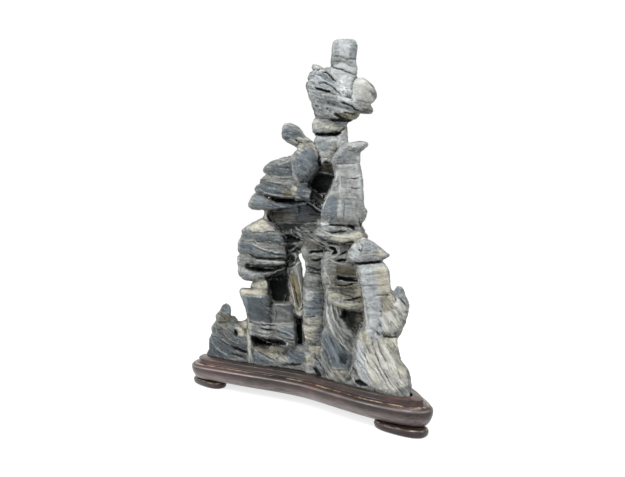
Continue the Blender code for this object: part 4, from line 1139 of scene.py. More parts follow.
# %% Pale veins and worn crests
VEINS = [
    (2.0, 0.5, "67,87.5 78,87 95,85.5"),
    (2.6, 0.6, "79,84 84,76 90,69"),
    (1.8, 0.5, "26,31 36,28.5 48,29.5"),
    (2.2, 0.6, "65,78 66.5,66 67.5,53"),
    (1.6, 0.6, "-25,96 -17,96.5 -13,95"),
    (1.6, 0.5, "12,113.5 22,113.5"),
    (1.4, 0.5, "-2,84.5 8,85 20,84.5"),
    (2.4, 0.4, "44,375 44,366 44,358"),
    (2.4, 0.4, "45,338 43,328 40,320"),
    (2.8, 0.8, "54,336 51.5,330 50.5,320 50,313"),
    (1.6, 0.5, "20,344 26,341.5 31,338 36,333"),
    (1.6, 0.5, "8,334 16,333 24,331.5 32,327 38,321"),
    (1.6, 0.5, "10,327 18,325 26,323 33,319"),
    (1.6, 0.6, "36,313 44,311 51,309 58,304 64,301"),
    (1.4, 0.5, "55,308.5 64,308 71,307.5"),
    (1.6, 0.5, "14,300 22,298 30,294.5"),
    (2.0, 0.5, "15,273 22,274 30,274 37,272"),
    (1.8, 0.5, "-7,271.5 -1,271 6,270"),
    (3.0, 0.6, "8,269 12,262 13,256 15,250"),
    (1.2, 0.5, "-8,255 -2,259 5,262"),
    (1.2, 0.5, "0,252 4,247 8,243 11,240"),
    (1.0, 0.45, "-13,249 -11.5,243 -11.5,236 -10,230 -6,225 -8,219"),
    (1.5, 0.6, "-30,246 -26,244 -20,246 -13,248.5"),
    (1.0, 0.4, "-42,237.5 -38,238.5 -30,240 -20,239 -13,237.5"),
    (1.4, 0.5, "-39,233.5 -30,231.5 -20,230.5 -12,230.5"),
    (1.5, 0.6, "-42,228.5 -34,226 -26,225 -17,222"),
    (1.6, 0.7, "-50,221 -46,217 -41,214 -35,212.5 -24,210.5 -10,209.5 -2,208.5"),
    (1.0, 0.5, "6,205.5 12,202.5 19,199"),
    (1.0, 0.5, "5,205 10,200.5 15,196 19,193"),
    (1.2, 0.5, "13,217.5 19,215 24,212.5"),
    (1.0, 0.5, "9,232.5 14,235.5 20,235.5 32,232"),
    (2.0, 0.8, "33,240 35,232 31,224 27,216 23,208 21,202 19,195"),
    (2.0, 0.5, "37,237 38,226 38,214 38,208"),
    (2.6, 0.4, "38,207 36.5,197 34.5,187"),
    (1.2, 0.5, "37,210 46,209.5 58,209.5"),
    (1.6, 0.5, "44,268 52,266.5 60,267 66,266"),
    (1.6, 0.6, "-42,191 -40,186 -38,182"),
    (1.4, 0.6, "-60,177 -52,174 -44,173.5 -36,175 -27,174"),
    (1.6, 0.6, "-56,161 -48,157 -40,154 -30,151.5 -20,150"),
    (1.6, 0.6, "-50,143.5 -42,142 -32,141.5 -20,141"),
    (1.4, 0.7, "-41,126 -32,130 -24,133.5 -18,137"),
    (1.4, 0.7, "-19,156 -15,152 -10,156 -7,159"),
    (1.4, 0.8, "-19,147 -16,150 -10,150.5 -8,147 -9,142 -13,138"),
    (1.4, 0.8, "-18,141 -15,144 -15,148"),
    (1.4, 0.8, "-8,154 -4,151 -3,146 -5,141 -10,137.5 -16,133"),
    (1.1, 0.6, "-13,181 -6,176 0,171.5 7,166 15,160.5 26,155.5"),
    (2.2, 0.7, "18,179 23,182.5 28,187"),
    (2.4, 0.7, "17,176 23,173 30,169 40,168 50,168 58,166"),
    (1.6, 0.7, "25,158.5 32,159.5 37,156 37,150 33,146.5 26,146"),
    (1.6, 0.6, "4,148.5 10,150 17,148 24,149"),
    (1.6, 0.6, "47,153 52,157 56,161"),
    (1.6, 0.7, "58,147 66,149.5 76,149 87,149.5"),
    (1.6, 0.6, "58,163 60,157 58,150 56,145"),
    (1.8, 0.6, "20,141 26,145 33,141 40,139 50,139"),
    (2.6, 1.0, "53,140 56,132 59,120 61,110 63,100 64,90 66,80 68,71"),
    (1.6, 0.6, "20,138 24,128 28,119 24,112 23,104"),
    (2.4, 0.7, "30,100 38,97 48,96 61,98"),
    (2.4, 1.1, "23,102 24,95 23,88 26,79 29,71 33,63"),
    (1.6, 0.9, "28,99 29,90 32,81 37,73 44,67.5 54,61.5"),
    (1.3, 0.6, "33,96 35,87 38,79"),
    (1.3, 0.6, "30,66 36,60 42,53 48,47"),
    (1.6, 0.5, "63,88.5 75,88.5 86,87.5 97,86"),
    (1.6, 0.5, "80,85 85,78 90,70"),
    (2.0, 0.6, "54,58 58,51 62,43 66,34 69,24"),
    (2.0, 0.6, "66,62 70,52 74,42 79,31 86,18 91,9"),
    (2.0, 0.6, "82,60 85,50 89,40 94,28 98,16"),
    (1.6, 0.6, "42,19 47,22 50,28 51,36"),
    (1.4, 0.6, "-57,79 -56,68 -56,56 -57,46 -57,37"),
    (1.6, 0.5, "-62,106 -55,105.5 -47,104"),
    (1.6, 0.6, "-31,96.5 -22,97 -13,96"),
    (1.4, 0.6, "-59,81 -50,78 -40,77 -30,76.5 -20,77 -11,76"),
    (1.4, 0.6, "-30,71.5 -22,68.5 -14,65 -6,61"),
    (1.4, 0.5, "-55,66.5 -46,63.5 -36,62.5"),
    (1.6, 0.7, "-22,60 -17,55 -19,50"),
    (2.0, 0.6, "-55,53 -45,50 -35,48 -26,49"),
    (1.4, 0.5, "-31,47.5 -25,42 -19,35.5"),
    (1.4, 0.5, "-27,51 -20,45 -14,38.5"),
    (1.6, 0.8, "-14,121 -12,108 -9,96 -5,91.5 -2,95 -2,108 -5,122 -8,136"),
    (2.0, 0.7, "-10,90 -7,86 -2,85 2,88"),
    (1.6, 0.5, "-99,60 -93,52 -86,46 -79,42"),
    (1.4, 0.5, "-94,76 -92,68 -88,62 -81,56 -74,53.5"),
    (1.4, 0.5, "-86,69 -81,62 -75,58 -66,54")]
print("veins drawn:", len(VEINS))

# %% [markdown]
# ## Facets, stains and hollows
# The beds break into flat facets, and each facet keeps its own colour up to its edge: slate blue where the
# break is fresh, pale where it's rubbed, white where calcite is bare, cream and ochre where mud has
# dried, and black where no light gets in. Each area is a closed path on the same elevation as the cracks,
# with its kind, its strength, and how far the surface lies back inside it. Smaller stains are ellipses.

# %% Areas of the head and neck
HEAD_AREAS = [
    ("white", 0.55, 0, "38,339 52,337 52,326 52,317 46,308 41,311 37,320"),
    ("pale", 0.66, 0, "26,346 34,349 56,346 57,340 72,326 74,308 54,299 40,297 36,312 34,326"),
    ("pale", 0.36, 0, "26,346 28,376 56,376 57,346"),
    ("pale", 0.42, 0, "8,298 60,298 48,284 46,262 34,248 16,246 10,268 8,284"),
    ("pale", 0.42, 0, "5,350 26,346 34,326 36,312 40,297 10,298 0,325"),
    ("slate", 0.7, 0, "47,373 56,373 57,357 52,355 47,357"),
    ("slate", 0.6, 0, "30,370 36,373 36,360 30,357"),
    ("pale", 0.75, 0, "37,375 47,375 46,357 37,358"),
    ("slate", 0.4, 0, "28,357 33,356 40,351 36,347 28,349"),
    ("pale", 0.6, 0, "38,351 54,345 56,339 44,342 33,346"),
    ("pale", 0.8, 0, "36,339 52,337 53,328 54,317 47,303 40,297 37,312 34,320"),
    ("slate", 0.8, 0, "5,341 20,342 30,335 34,331 33,322 20,320 5,326"),
    ("slate", 0.52, 0.6, "5,321 20,318 33,314 33,306 28,299 12,305 6,314"),
    ("pale", 0.45, -1.2, "8,347 12,349 18,345 24,341 18,341 12,343"),
    ("slate", 0.35, 0, "12,303 22,302 27,297 22,293 13,296"),
    ("cream", 0.4, 0, "52,330 56,334 65,333 71,325 74,314 60,311 53,316"),
    ("slate", 0.5, 0, "50,331 56,335 64,334 61,324 60,312 50,313"),
    ("slate", 0.55, 0.8, "69,322 73,321 75,316 72,315 70,317"),
    ("slate", 0.45, 0, "38,308 46,306 54,300 46,298 38,301"),
    ("cream", 0.4, 0, "52,311 64,310 73,308 73,300 62,302 55,305"),
    ("ochre", 0.8, 0.6, "36,299 46,298 58,301 55,294 50,289 34,289 31,293"),
    ("ochre", 0.35, 0, "56,306 72,304 72,299 60,300"),
    ("cream", 0.45, 0, "9,290 20,291 34,288 40,284 30,279 12,280"),
    ("slate", 0.5, 0.3, "16,291 30,290 36,286 24,284"),
    ("ochre", 0.8, 0, "27,280 36,280 44,284 45,281 36,277 24,278"),
    ("shade", 1.0, 4, "11,278 20,277.5 38,279 40,277 34,273.5 24,273 12,274.5"),
    ("pale", 0.45, 0, "13,273 26,273 37,272 36,269 24,270 13,269"),
    ("shade", 0.2, 0, "14,268 21,271 27,267 26,259 20,257 14,261"),
    ("slate", 0.85, 0, "14,268 21,271 27,267 26,259 20,257 14,261"),
    ("cream", 0.4, 0, "28,266 37,269 37,262 32,256 28,258"),
    ("cream", 0.45, 0, "16,254 30,256 29,250 22,247 17,248"),
    ("shade", 0.95, 3, "15.5,253 17.5,253 18,243 16,241"),
    ("shade", 0.75, 2, "19,246 27,246.5 30,244 28,242 20,243")]
print("head:", len(HEAD_AREAS), "areas")

# %% Areas of the horn, the eaves, the cleft and the tower
UPPER_AREAS = [
    ("shade", 0.16, 0, "-44,240 -12,250 -10,208 -36,208 -54,214"),
    ("slate", 0.8, 0, "-22,272 -22,282 -19,286 -13,285 -6,280 -1,274 -10,273 -20,270"),
    ("cream", 0.6, 0, "-9,272 2,272 11,267 10,263 0,264 -5,259 -8,264"),
    ("ochre", 0.6, 0, "-8,269 -1,268 3,266 -4,264 -8,266"),
    ("slate", 0.95, -0.6, "-10,250 -3,256 5,261 12,258 15,250 15,240 13,234 8,236 0,236 -8,234 -11,242"),
    ("cream", 0.75, 0, "10,267 14,262 16,252 14,251 11,258 8,263"),
    ("slate", 0.6, 0.5, "-9,234 7,235 5,227 -1,224 -6,227"),
    ("shade", 0.3, 0.5, "-8,233 5,233 4,227 -1,225 -6,227"),
    ("slate", 0.7, 0, "-8,222 0,224 5,224 5,214 2,207 -7,208"),
    ("slate", 0.4, 0, "-36,242 -28,247 -12,251 -12,242 -25,241"),
    ("slate", 1.0, 0.8, "-42,235 -32,241 -22,242 -12,242 -11,235 -20,234 -32,234"),
    ("slate", 0.3, 0, "-44,228 -36,232 -20,231 -11,229 -11,225 -24,226 -38,224"),
    ("slate", 0.95, 0.8, "-51,219 -43,224 -29,221 -22,217 -24,212 -35,211 -46,214"),
    ("ochre", 0.7, 0.5, "-22,219 -14,217 -14,211 -22,212"),
    ("cream", 0.7, 0, "-13,221 -8,221 -8,210 -14,210"),
    ("slate", 0.6, -0.8, "-57,200 -55,208 -50,213 -44,212 -37,208 -31,206 -32,202 -40,198 -50,197"),
    ("shade", 1.0, 9, "-37,210.5 -30,210 -20,209.5 -10,208.5 -1,207 6,205 0,204.5 -6,203 -14,202 -24,203 "
     "-31,204.5 -33,207"),
    ("slate", 1.0, 0, "6,230 15,236 34,232 23,208 19,195 4,204"),
    ("shade", 0.78, 9, "7,230 11,233 16,235 26,234 33,231.5 32,226 29,220 26,214 23,208 21,201 19.5,195 "
     "16,198 11,201 6,204 5,209 7,215 6.5,221 7.5,226"),
    ("ochre", 0.75, 1.5, "17,245 28,245 31,240 31,235 18,236.5 15,238"),
    ("shade", 0.35, 0.5, "25,243 31,243 34,236 32,233.5 26,235"),
    ("shade", 0.58, 3, "-34,197 -20,199 -5,201 5,203 19,194 20,188 15,183 2,182 -4,176 -8,170 -22,172 "
     "-30,174 -33,182 -34,192"),
    ("slate", 0.9, 0, "-31,205 -14,202 -2,205 8,203 16,196 14,190 -8,189 -14,196 -36,197"),
    ("shade", 0.35, 0.5, "-14,190 18,190 18,183 -9,184"),
    ("ochre", 0.4, 0, "-36,195 -14,195 -12,186 -30,185 -34,176 -36,182"),
    ("shade", 0.5, 2, "6,202 12,199 19,194 19,187 8,190 4,196"),
    ("shade", 0.9, 4, "-21,182 -8,181.5 -4,177 -10,174 -22,176"),
    ("shade", 1.0, 6, "-24,169 -9,171.5 1,164.5 -3,162.5 -17,160.5 -22,166"),
    ("shade", 0.3, 1, "-8,182 14,181 14,166 2,168 -6,175"),
    ("shade", 0.5, 2, "-22,176 -8,174 1,165 12,164 5,171 -2,176 -8,181"),
    ("shade", 0.9, 2, "-30,209 -18,208 -4,206 -6,203 -22,202 -30,204"),
    ("slate", 0.45, -1, "1,181 15,181 15,173 5,172"),
    ("pale", 0.32, 0, "36,245 57,245 60,230 61,205 60,184 36,184 36,212 35,236"),
    ("slate", 0.5, 0, "30,249 36,257 42,266 46,262 46,246 30,245"),
    ("slate", 0.6, 0.4, "46.5,257 57,258 55,246 46.5,246"),
    ("ochre", 0.25, 0, "46.5,257 57,258 55,246 46.5,246"),
    ("pale", 0.5, 0, "57,256 61,257 58,246 55.5,244"),
    ("slate", 0.3, 0, "40,241 47,241 47,226 40,226"),
    ("pale", 0.8, -0.5, "44,268 52,267 62,268 66,266 62,262 52,262 46,264"),
    ("pale", 0.45, 0, "36,208 39.5,208 39,198 37,187 33.5,187 36,198"),
    ("slate", 0.9, 0.6, "21,199 24,208 30,211 35,210 35,189 28,184 20,189"),
    ("slate", 0.6, 0.4, "29,221 34,222 35,216 31,214"),
    ("slate", 0.6, 0.4, "40,207 44,206 43,190 40,186"),
    ("ochre", 0.2, 0, "40,207 52,206 52,188 40,186"),
    ("slate", 0.55, 0.4, "45,204 51,205 52,190 46,187"),
    ("pale", 0.4, 0, "55,242 61,228 62,206 57,206 56,228"),
    ("cream", 0.8, 0, "26,166 36,170 48,172 59,173 65,168 62,164 48,163 36,162"),
    ("pale", 0.6, 0, "17,183 24,186 30,180 34,175 24,172 17,176"),
    ("pale", 0.4, 0, "36,178 46,179 58,176 58,173 44,173"),
    ("slate", 0.55, 0, "15,170 22,167 32,162 26,160 16,163 9,168")]
print("upper:", len(UPPER_AREAS), "areas")

# %% Areas of the bun, the hollow under it and the leaf
MIDDLE_AREAS = [
    ("shade", 0.16, 0, "-70,172 -40,175 -20,172 -18,142 -68,146"),
    ("shade", 0.54, 0, "-60,104 -38,104 -33,96 -14,96 -10,84 -12,76 -58,78"),
    ("cream", 0.9, 0, "-60,177 -50,184 -42,186 -38,181 -36,176 -46,175 -56,175"),
    ("cream", 0.7, 0, "-43,195 -40,195 -36,184 -40,183"),
    ("shade", 0.8, 2, "-39,193 -36,190 -33,182 -36,183"),
    ("slate", 0.85, 0, "-68,162 -55,161 -49,154 -40,150.5 -20,151 -20,147 -46,147.5 -59,152 -68,152"),
    ("slate", 0.6, 0, "-55,170 -44,171 -30,170 -22,166 -18,162 -30,160 -37,163 -51,163"),
    ("slate", 0.6, 0, "-66,170 -58,172 -54,165 -66,163"),
    ("pale", 0.4, 0, "-50,145 -38,144 -22,143.5 -20,140 -34,139.5 -50,142"),
    ("shade", 1.0, 6, "-62,140 -48,138.5 -31,138.5 -21,139 -34,131.5 -45,131 -55,133"),
    ("shade", 0.85, 2, "-58,151 -51,148 -40,146.5 -20,146 -20,144 -32,144.5 -46,145"),
    ("pale", 0.5, 0, "-68,137 -60,134 -46,129.5 -43,127.5 -57,126 -66,129"),
    ("slate", 0.55, 0, "-68,131 -60,130 -54,126 -62,124 -67,127"),
    ("shade", 0.85, 3, "-20,160 -10,160 -3,154 -9,149.5 -6,144 -9,138 -14,132 -30,129 -41,124.5 -42,127 "
     "-30,132 -20,138 -18,146 -20,152"),
    ("shade", 1.0, 8, "-41.5,124.5 -34,129 -15,132 -16,124 -16,114 -14.5,109 -20,106 -21,101 -23,97.5 -30,98 "
     "-34,102 -35,110 -37.5,118"),
    ("ochre", 0.75, 5, "-20,107 -14.5,110 -13,98.5 -22,98 -21,102"),
    ("cream", 0.55, -1, "-57,118 -50,121.5 -43,124 -38,121 -37,115 -43,111 -52,111.5"),
    ("cream", 0.95, 0, "-67,111.5 -58,113.5 -48,111.5 -37,111.5 -35,107 -48,107 -64,107.5"),
    ("slate", 1.0, 0, "-65,105.5 -51,104 -41,106.5 -34,101.5 -34,96 -38,90 -39,77 -57,82 -60.5,90"),
    ("pale", 0.65, 0, "-52,104.5 -46,106.5 -42,105 -47,102.5"),
    ("pale", 0.2, 0, "-32,96 -24,96 -18,89 -13,84 -14,77 -29,77 -36,89"),
    ("slate", 0.8, 0.4, "-25,95 -14,95.5 -12,85 -17,89"),
    ("slate", 0.75, 0, "-38,89 -31,77 -38,77"),
    ("slate", 0.55, 0, "-54,73 -33,73.5 -34,70 -52,70"),
    ("slate", 0.9, 0, "-27,72.5 -10,72 -7,60.5 -17,62.5 -24,66.5"),
    ("shade", 1.0, 8, "-10,83 -1.5,83.5 -1.5,76 -5,69.5 -3,61 0,54 -7,54 -6,61 -10,70.5"),
    ("ochre", 0.9, 1, "-18,128 -11.5,131.5 -6,124 -3.5,114 -2,102 -3.5,94 -6.5,91 -11,98 -14,110 -15.5,120"),
    ("cream", 0.85, 0, "-10.5,91 -6,88 -1,92 0.5,89 -3,84.5 -8,86"),
    ("pale", 0.35, 0, "-16,140 -12,140 -5,130 -7,128 -13,134"),
    ("slate", 0.65, 0, "9,111 21,102 21.5,84 1,84 0,96"),
    ("pale", 0.55, 0, "0,112 7,112 12,106 8,99 3,98"),
    ("slate", 0.5, 0, "12,126 20,123 22,116 14,116"),
    ("slate", 0.4, 0, "0,124 8,124 6,115 0,114"),
    ("cream", 0.45, 0, "-1,82 18,82.5 16,72 12,68 13,56 1,56 -2,64"),
    ("slate", 0.6, 0, "12,72 20,76 21,60 15,57 14,66"),
    ("shade", 0.4, 1, "3,143 19,144 18,127 4,127"),
    ("ochre", 0.55, 0, "0,146 18,146 18,141 2,141"),
    ("pale", 0.35, 0, "2,151 18,150 24,148 18,147 3,147.5")]
print("middle:", len(MIDDLE_AREAS), "areas")

# %% Areas of the right side
RIGHT_AREAS = [
    ("pale", 0.4, 0, "56,164 68,166 78,161 88,150 80,144 58,143 47,146 53,158"),
    ("cream", 0.45, 0, "78,138 86,136 91,124 93,108 108,92 105,80 98,68 84,64 82,90 79,108"),
    ("ochre", 0.3, 0, "82,112 94,108 96,92 84,88"),
    ("slate", 0.7, 0.5, "59,163 74,162 77,156.5 73,154 66,154 60,152.5 58,158"),
    ("pale", 0.45, 0, "46,151 53,159 57,154 61,148 60,144 50,145"),
    ("slate", 0.55, 0, "47,147 52,152 58,146 54,143 48,144"),
    ("slate", 0.45, 0, "62,151 74,152 79,147.5 72,144.5 63,144.5"),
    ("cream", 0.7, 0, "77,158 82,154 88,149.5 82,145.5 77,150"),
    ("slate", 0.6, 0, "57.5,136 71,136 73,130 72,109.5 77,101 77,90 75,72 67.5,76 66,88 64.5,104 61,121"),
    ("pale", 0.6, 0, "57,139 83,140 90,128 92,110 98,104 108,92 104,78 97,68 76,67 68,76 64.5,100 60,122"),
    ("cream", 0.7, 0, "74,136 85,137 90.5,125 92,110.5 80,109.5 75.5,121"),
    ("ochre", 0.3, 0, "81,112 94,108 95,91 84,86 79,96"),
    ("cream", 0.45, 0, "66,62 84,62 98,58 102,40 111,12 92,3 70,10 64,34"),
    ("pale", 0.45, 0, "67,87 85,86 92,78 90,68 76,69 70,75"),
    ("slate", 0.75, 0, "95.5,114.5 101,115.5 104.5,112 103.5,108 97,106.5"),
    ("slate", 0.35, 0, "99,105 107,100 109,92 105,82 98,86 97,96"),
    ("ochre", 0.35, 0, "20,142 54,141 60,122 62,102 24,104 22,124"),
    ("cream", 0.45, 0, "27,112 40,108 58,108 62,98 44,97 27,100"),
    ("slate", 0.5, 0, "18,141 28,140 33,134 27,126 20,130"),
    ("ochre", 0.55, 0, "33,137 54,134.5 57,127 46,126.5 35,128"),
    ("shade", 0.35, 1, "33,137 54,134.5 57,127 46,126.5 35,128"),
    ("shade", 0.95, 5, "34,127.5 44,126 57,123 58,120.5 46,121.3 36,123"),
    ("ochre", 0.4, 0, "32,121 46,120 57,118 58,112 44,112 32,116"),
    ("cream", 0.65, 0, "53,115 60,114.5 63,105 58,103 53,107"),
    ("ochre", 1.0, 0.5, "56,103 63,104.5 64,99 57,98.5"),
    ("cream", 0.85, 0, "29,99 42,96.5 62,97.5 64,91 45,91 36,93.5 30,97"),
    ("shade", 0.95, 6, "39,91 47,90 46,83 42,77.5 38,83"),
    ("ochre", 0.5, 3, "47,90 61,89 65,78 61,71 46,70 42,77"),
    ("shade", 0.5, 2, "46,90 56,88 54,80 50,71 44,73"),
    ("ochre", 0.9, 1, "61,88.5 64,88.5 66,79 62,75"),
    ("cream", 0.75, 0, "58,69 65.5,69 67,57 59,55.5"),
    ("slate", 0.35, 0, "22,100 30,98 32,88 38,74 32,66 26,80"),
    ("slate", 0.8, 0, "20.5,51 20,60 20,68 29,64.5 37,55.5 49,45 54,38 51,32 43,28.5 31,31 22.5,37"),
    ("shade", 0.55, 1.5, "36,46 44,44 47,38 43,33 38,36"),
    ("cream", 0.45, -0.6, "29,28 49,26 52,21 42,15.5 30,20 27,25"),
    ("shade", 1.0, 5, "53.5,17.5 61,17.5 68,11 60,10 54,14"),
    ("shade", 0.95, 3, "9,30 13,31 20,21 15,19"),
    ("cream", 0.95, 0, "5,52.5 18,53.5 20.5,48 12,45 5,47"),
    ("slate", 0.5, 0, "10,42 18,42 26,26 20,22 12,34"),
    ("ochre", 0.3, 0, "60,60 80,62 98,50 108,20 96,8 74,30 62,44"),
    ("white", 0.3, 0, "74,60 96,60 98,46 106,28 108,14 92,10 80,34"),
    ("pale", 0.7, 0, "57,60 67,74 76,66 84,62 98,58 100,42 110,12 90,4 64,12 55,26 54,45"),
    ("slate", 0.85, 0.5, "57,52.5 64,50 68,41 63,41 59,47"),
    ("slate", 0.7, 0.5, "54,30 58,24 56,19 53,24"),
    ("slate", 0.8, 0.5, "61.5,33 67,33 72,23 67,25"),
    ("pale", 0.8, 0, "56.5,44.5 61.5,42 64,37 58,38"),
    ("slate", 0.65, 0.4, "77,53 84,48 86,41 80,44"),
    ("slate", 0.7, 0.4, "75,31 80,28 86,17 81,19"),
    ("slate", 0.45, 0, "70,62 74,54 76,46 72,50"),
    ("cream", 0.8, 0, "80,62 97,62 98,45 104,36 109,22 99,20 91,28 84,42"),
    ("ochre", 0.35, 0, "88,58 97,58 98,46 104,34 100,28 92,44"),
    ("slate", 0.5, 0, "66,56 74,58 82,40 80,32 72,44"),
    ("slate", 0.7, 0, "104,21 109,18 111.5,9 107.5,7 104,13"),
    ("cream", 0.9, 0, "57.5,66 67,65 68,52 59,56.5")]
print("right:", len(RIGHT_AREAS), "areas")

# %% Areas of the left side
LEFT_AREAS = [
    ("shade", 0.25, 0, "-100,58 -80,57 -62,54 -60,40 -104,40"),
    ("slate", 0.5, 0, "-104,42 -100,62 -92,84 -80,84 -70,68 -60,60 -60,38"),
    ("shade", 0.26, 0, "-96,74 -86,84 -76,78 -66,62 -60,56 -61,42 -80,44 -92,58"),
    ("ochre", 0.35, 0, "-96,70 -88,84 -78,76 -70,60 -80,56"),
    ("slate", 0.8, 0, "-81,98 -86,93 -85,89 -77,87 -76,90 -79,95"),
    ("ochre", 0.6, 0, "-90,86 -80,86 -73,81 -80,77 -90,78"),
    ("shade", 0.35, 0.5, "-84,86 -76,84 -72,80 -80,79"),
    ("cream", 0.75, 0, "-72,76.5 -60,79.5 -57.5,70.5 -60,63 -69,64.5 -70,71"),
    ("shade", 0.95, 3, "-74,70 -70.5,70 -69.5,65 -72,63 -74,66"),
    ("cream", 0.35, 0, "-93,76 -80,76 -74,72 -84,70"),
    ("slate", 0.8, 0, "-88,72 -79,65 -66,54 -60,50 -74,53 -87,63"),
    ("slate", 0.8, 0, "-100,61 -90,60 -80,51 -70,43.5 -94,42 -102,49"),
    ("shade", 0.85, 2, "-77,53 -68,51 -60,47.5 -61,45 -70,48 -77,51"),
    ("cream", 0.4, 0, "-78,50 -68,47 -61,44 -68,43 -78,46"),
    ("cream", 0.45, 0, "-60,80 -57,80 -56,60 -57,38 -60,38 -59,60"),
    ("shade", 1.0, 8, "-54,63 -42,61.5 -30,59.5 -19,56.5 -21,54 -37,53 -52,57"),
    ("cream", 1.0, 0, "-54,57 -42,53 -22,52 -22,46.5 -31,40 -46,47 -54.5,51"),
    ("shade", 0.55, 1, "-54,64.5 -30,62.5 -17,58 -19,52.5 -40,53 -54,57"),
    ("slate", 1.0, 0, "-55,46.5 -45,43 -34.5,34.5 -45,32 -54,37"),
    ("slate", 0.85, 0, "-21,49 -4,48 2,43.5 -1,35 -12,32 -18,40.5"),
    ("cream", 0.55, 0, "2,42 10,43.5 12,36 2,32"),
    ("cream", 0.45, 0, "-30,45 -24,48 -16,38 -22,34"),
    ("shade", 0.8, 1.5, "-24,34 -14,35 -4,34 -10,31 -22,31")]

AREAS = HEAD_AREAS + UPPER_AREAS + MIDDLE_AREAS + RIGHT_AREAS + LEFT_AREAS
print("areas:", len(AREAS))

# %% Small stains
# Kind, middle across, middle up, half width, half height, turn in degrees, strength.
WASHES = [
    ("pale", 0, 271, 8, 1.6, 0, 0.5), ("slate", 36, 169, 4, 2, 0, 0.25), ("pale", 50, 160, 5, 3, 20, 0.4),
    ("ochre", 14, 158, 14, 3, -18, 0.5), ("ochre", -2, 160, 8, 3, 0, 0.4), ("shade", -14, 145, 3, 4, 0, 0.6),
    ("ochre", -30, 190, 7, 5, 0, 0.3), ("cream", 26, 106, 3, 8, 0, 0.5), ("slate", 40, 114, 8, 3, 0, 0.3),
    ("pale", 86, 78, 6, 8, 0, 0.3), ("ochre", 90, 62.5, 8, 1.6, 0, 0.7), ("shade", 42, 38, 4, 4, 0, 0.4),
    ("ochre", -24, 52, 5, 2, 0, 0.4), ("slate", -93, 50, 7, 5, -30, 0.3), ("cream", -20, 77, 9, 1.2, 0, 0.5),
    ("pale", 60, 39, 3, 7, 35, 0.5), ("slate", 63, 28, 2.5, 7, 35, 0.5), ("slate", 100, 112, 3, 3, 0, 0.3)]
print("stains:", len(WASHES))

# %% [markdown]
# ## Cutting the cracks
# A drawn line is projected on the stone as a slide would be: each point of the mesh asks where the eye
# sees it on the elevation, and how near the line passes. Only what the eye can see is cut, so the far
# side stays clear of it. The cut goes straight away from the eye, which keeps the drawing true. On the far
# side some of the creases between the beds are opened into cracks instead.

# %% What the eye sees
CELL = 2.0
HIDDEN_STEP = 7.0
GLANCING = 0.3
SHAKE = 0.9
SHAKE_SIZE = 5.0


def elevation(points):
    """Where the eye sees each point, as across and up at the stone's middle, and how far away it is."""
    across, sight, up = face_axes(points)
    away = EYE_DISTANCE + sight
    scale = EYE_DISTANCE / away
    return np.column_stack([EYE_ACROSS + (across - EYE_ACROSS) * scale,
                            EYE_HEIGHT + (up - EYE_HEIGHT) * scale]), away


def from_eye(points):
    """Unit directions from the eye to each point."""
    across, sight, up = face_axes(points)
    ray = np.column_stack([across - EYE_ACROSS, EYE_DISTANCE + sight, up - EYE_HEIGHT])
    ray /= np.linalg.norm(ray, axis=1)[:, None]
    x = ray[:, 0] * math.cos(FACE_TURN) - ray[:, 1] * math.sin(FACE_TURN)
    y = ray[:, 0] * math.sin(FACE_TURN) + ray[:, 1] * math.cos(FACE_TURN)
    return np.column_stack([x, y, ray[:, 2]])


def in_view(points, normals):
    """1 for points that the eye sees, 0 for those that are hidden or turned away."""
    seen, away = elevation(points)
    cells = np.floor(seen / CELL).astype(int)
    cells -= cells.min(axis=0)
    key = cells[:, 1] * (cells[:, 0].max() + 1) + cells[:, 0]
    nearest = np.full(key.max() + 1, np.inf)
    np.minimum.at(nearest, key, away)
    facing = -np.sum(from_eye(points) * normals, axis=1)
    return (away - nearest[key] < HIDDEN_STEP) * smooth_step(facing, 0.0, GLANCING)


def wavering(points):
    """Elevation places shaken a little, so that drawn lines waver as cracks do."""
    seen, _ = elevation(points)
    shake = np.column_stack([clouds(points, SHAKE_SIZE, 2, seed) for seed in (11.0, 17.0)])
    return seen + SHAKE * shake


points, normals = read_points(stone)
view = in_view(points, normals)
print("share of points in view:", round(float(np.mean(view > 0.5)), 2))

# %% Drawn lines and areas
POINT_GAP = 0.45
TAPER = 0.15
END_DEPTH = 0.4
MARGIN = 3
OUTSIDE = -99.0


def spots(path):
    """The points of a drawn path, one row of across and up for each."""
    return np.array([spot.split(",") for spot in path.split()], dtype=float)


def line_depth(seen, lines):
    """How deep each place lies under the deepest line near it."""
    depth = np.zeros(len(seen))
    for width, deep, path in lines:
        reach = width / 2 + POINT_GAP
        stops = spots(path)
        lengths = np.linalg.norm(np.diff(stops, axis=0), axis=1)
        begin = np.concatenate([[0], np.cumsum(lengths)])
        for number, (start, end) in enumerate(zip(stops, stops[1:])):
            low, high = np.minimum(start, end) - reach, np.maximum(start, end) + reach
            near = np.flatnonzero(np.all((seen > low) & (seen < high), axis=1))
            part = np.clip((seen[near] - start) @ (end - start) / lengths[number] ** 2, 0, 1)
            gap = np.linalg.norm(seen[near] - start - part[:, None] * (end - start), axis=1)
            along = (begin[number] + part * lengths[number]) / begin[-1]
            ends = END_DEPTH + (1 - END_DEPTH) * smooth_step(np.minimum(along, 1 - along), 0, TAPER)
            cut = deep * ends * np.clip(1 - (gap / reach) ** 2, 0, 1) ** 1.5
            depth[near] = np.maximum(depth[near], cut)
    return depth


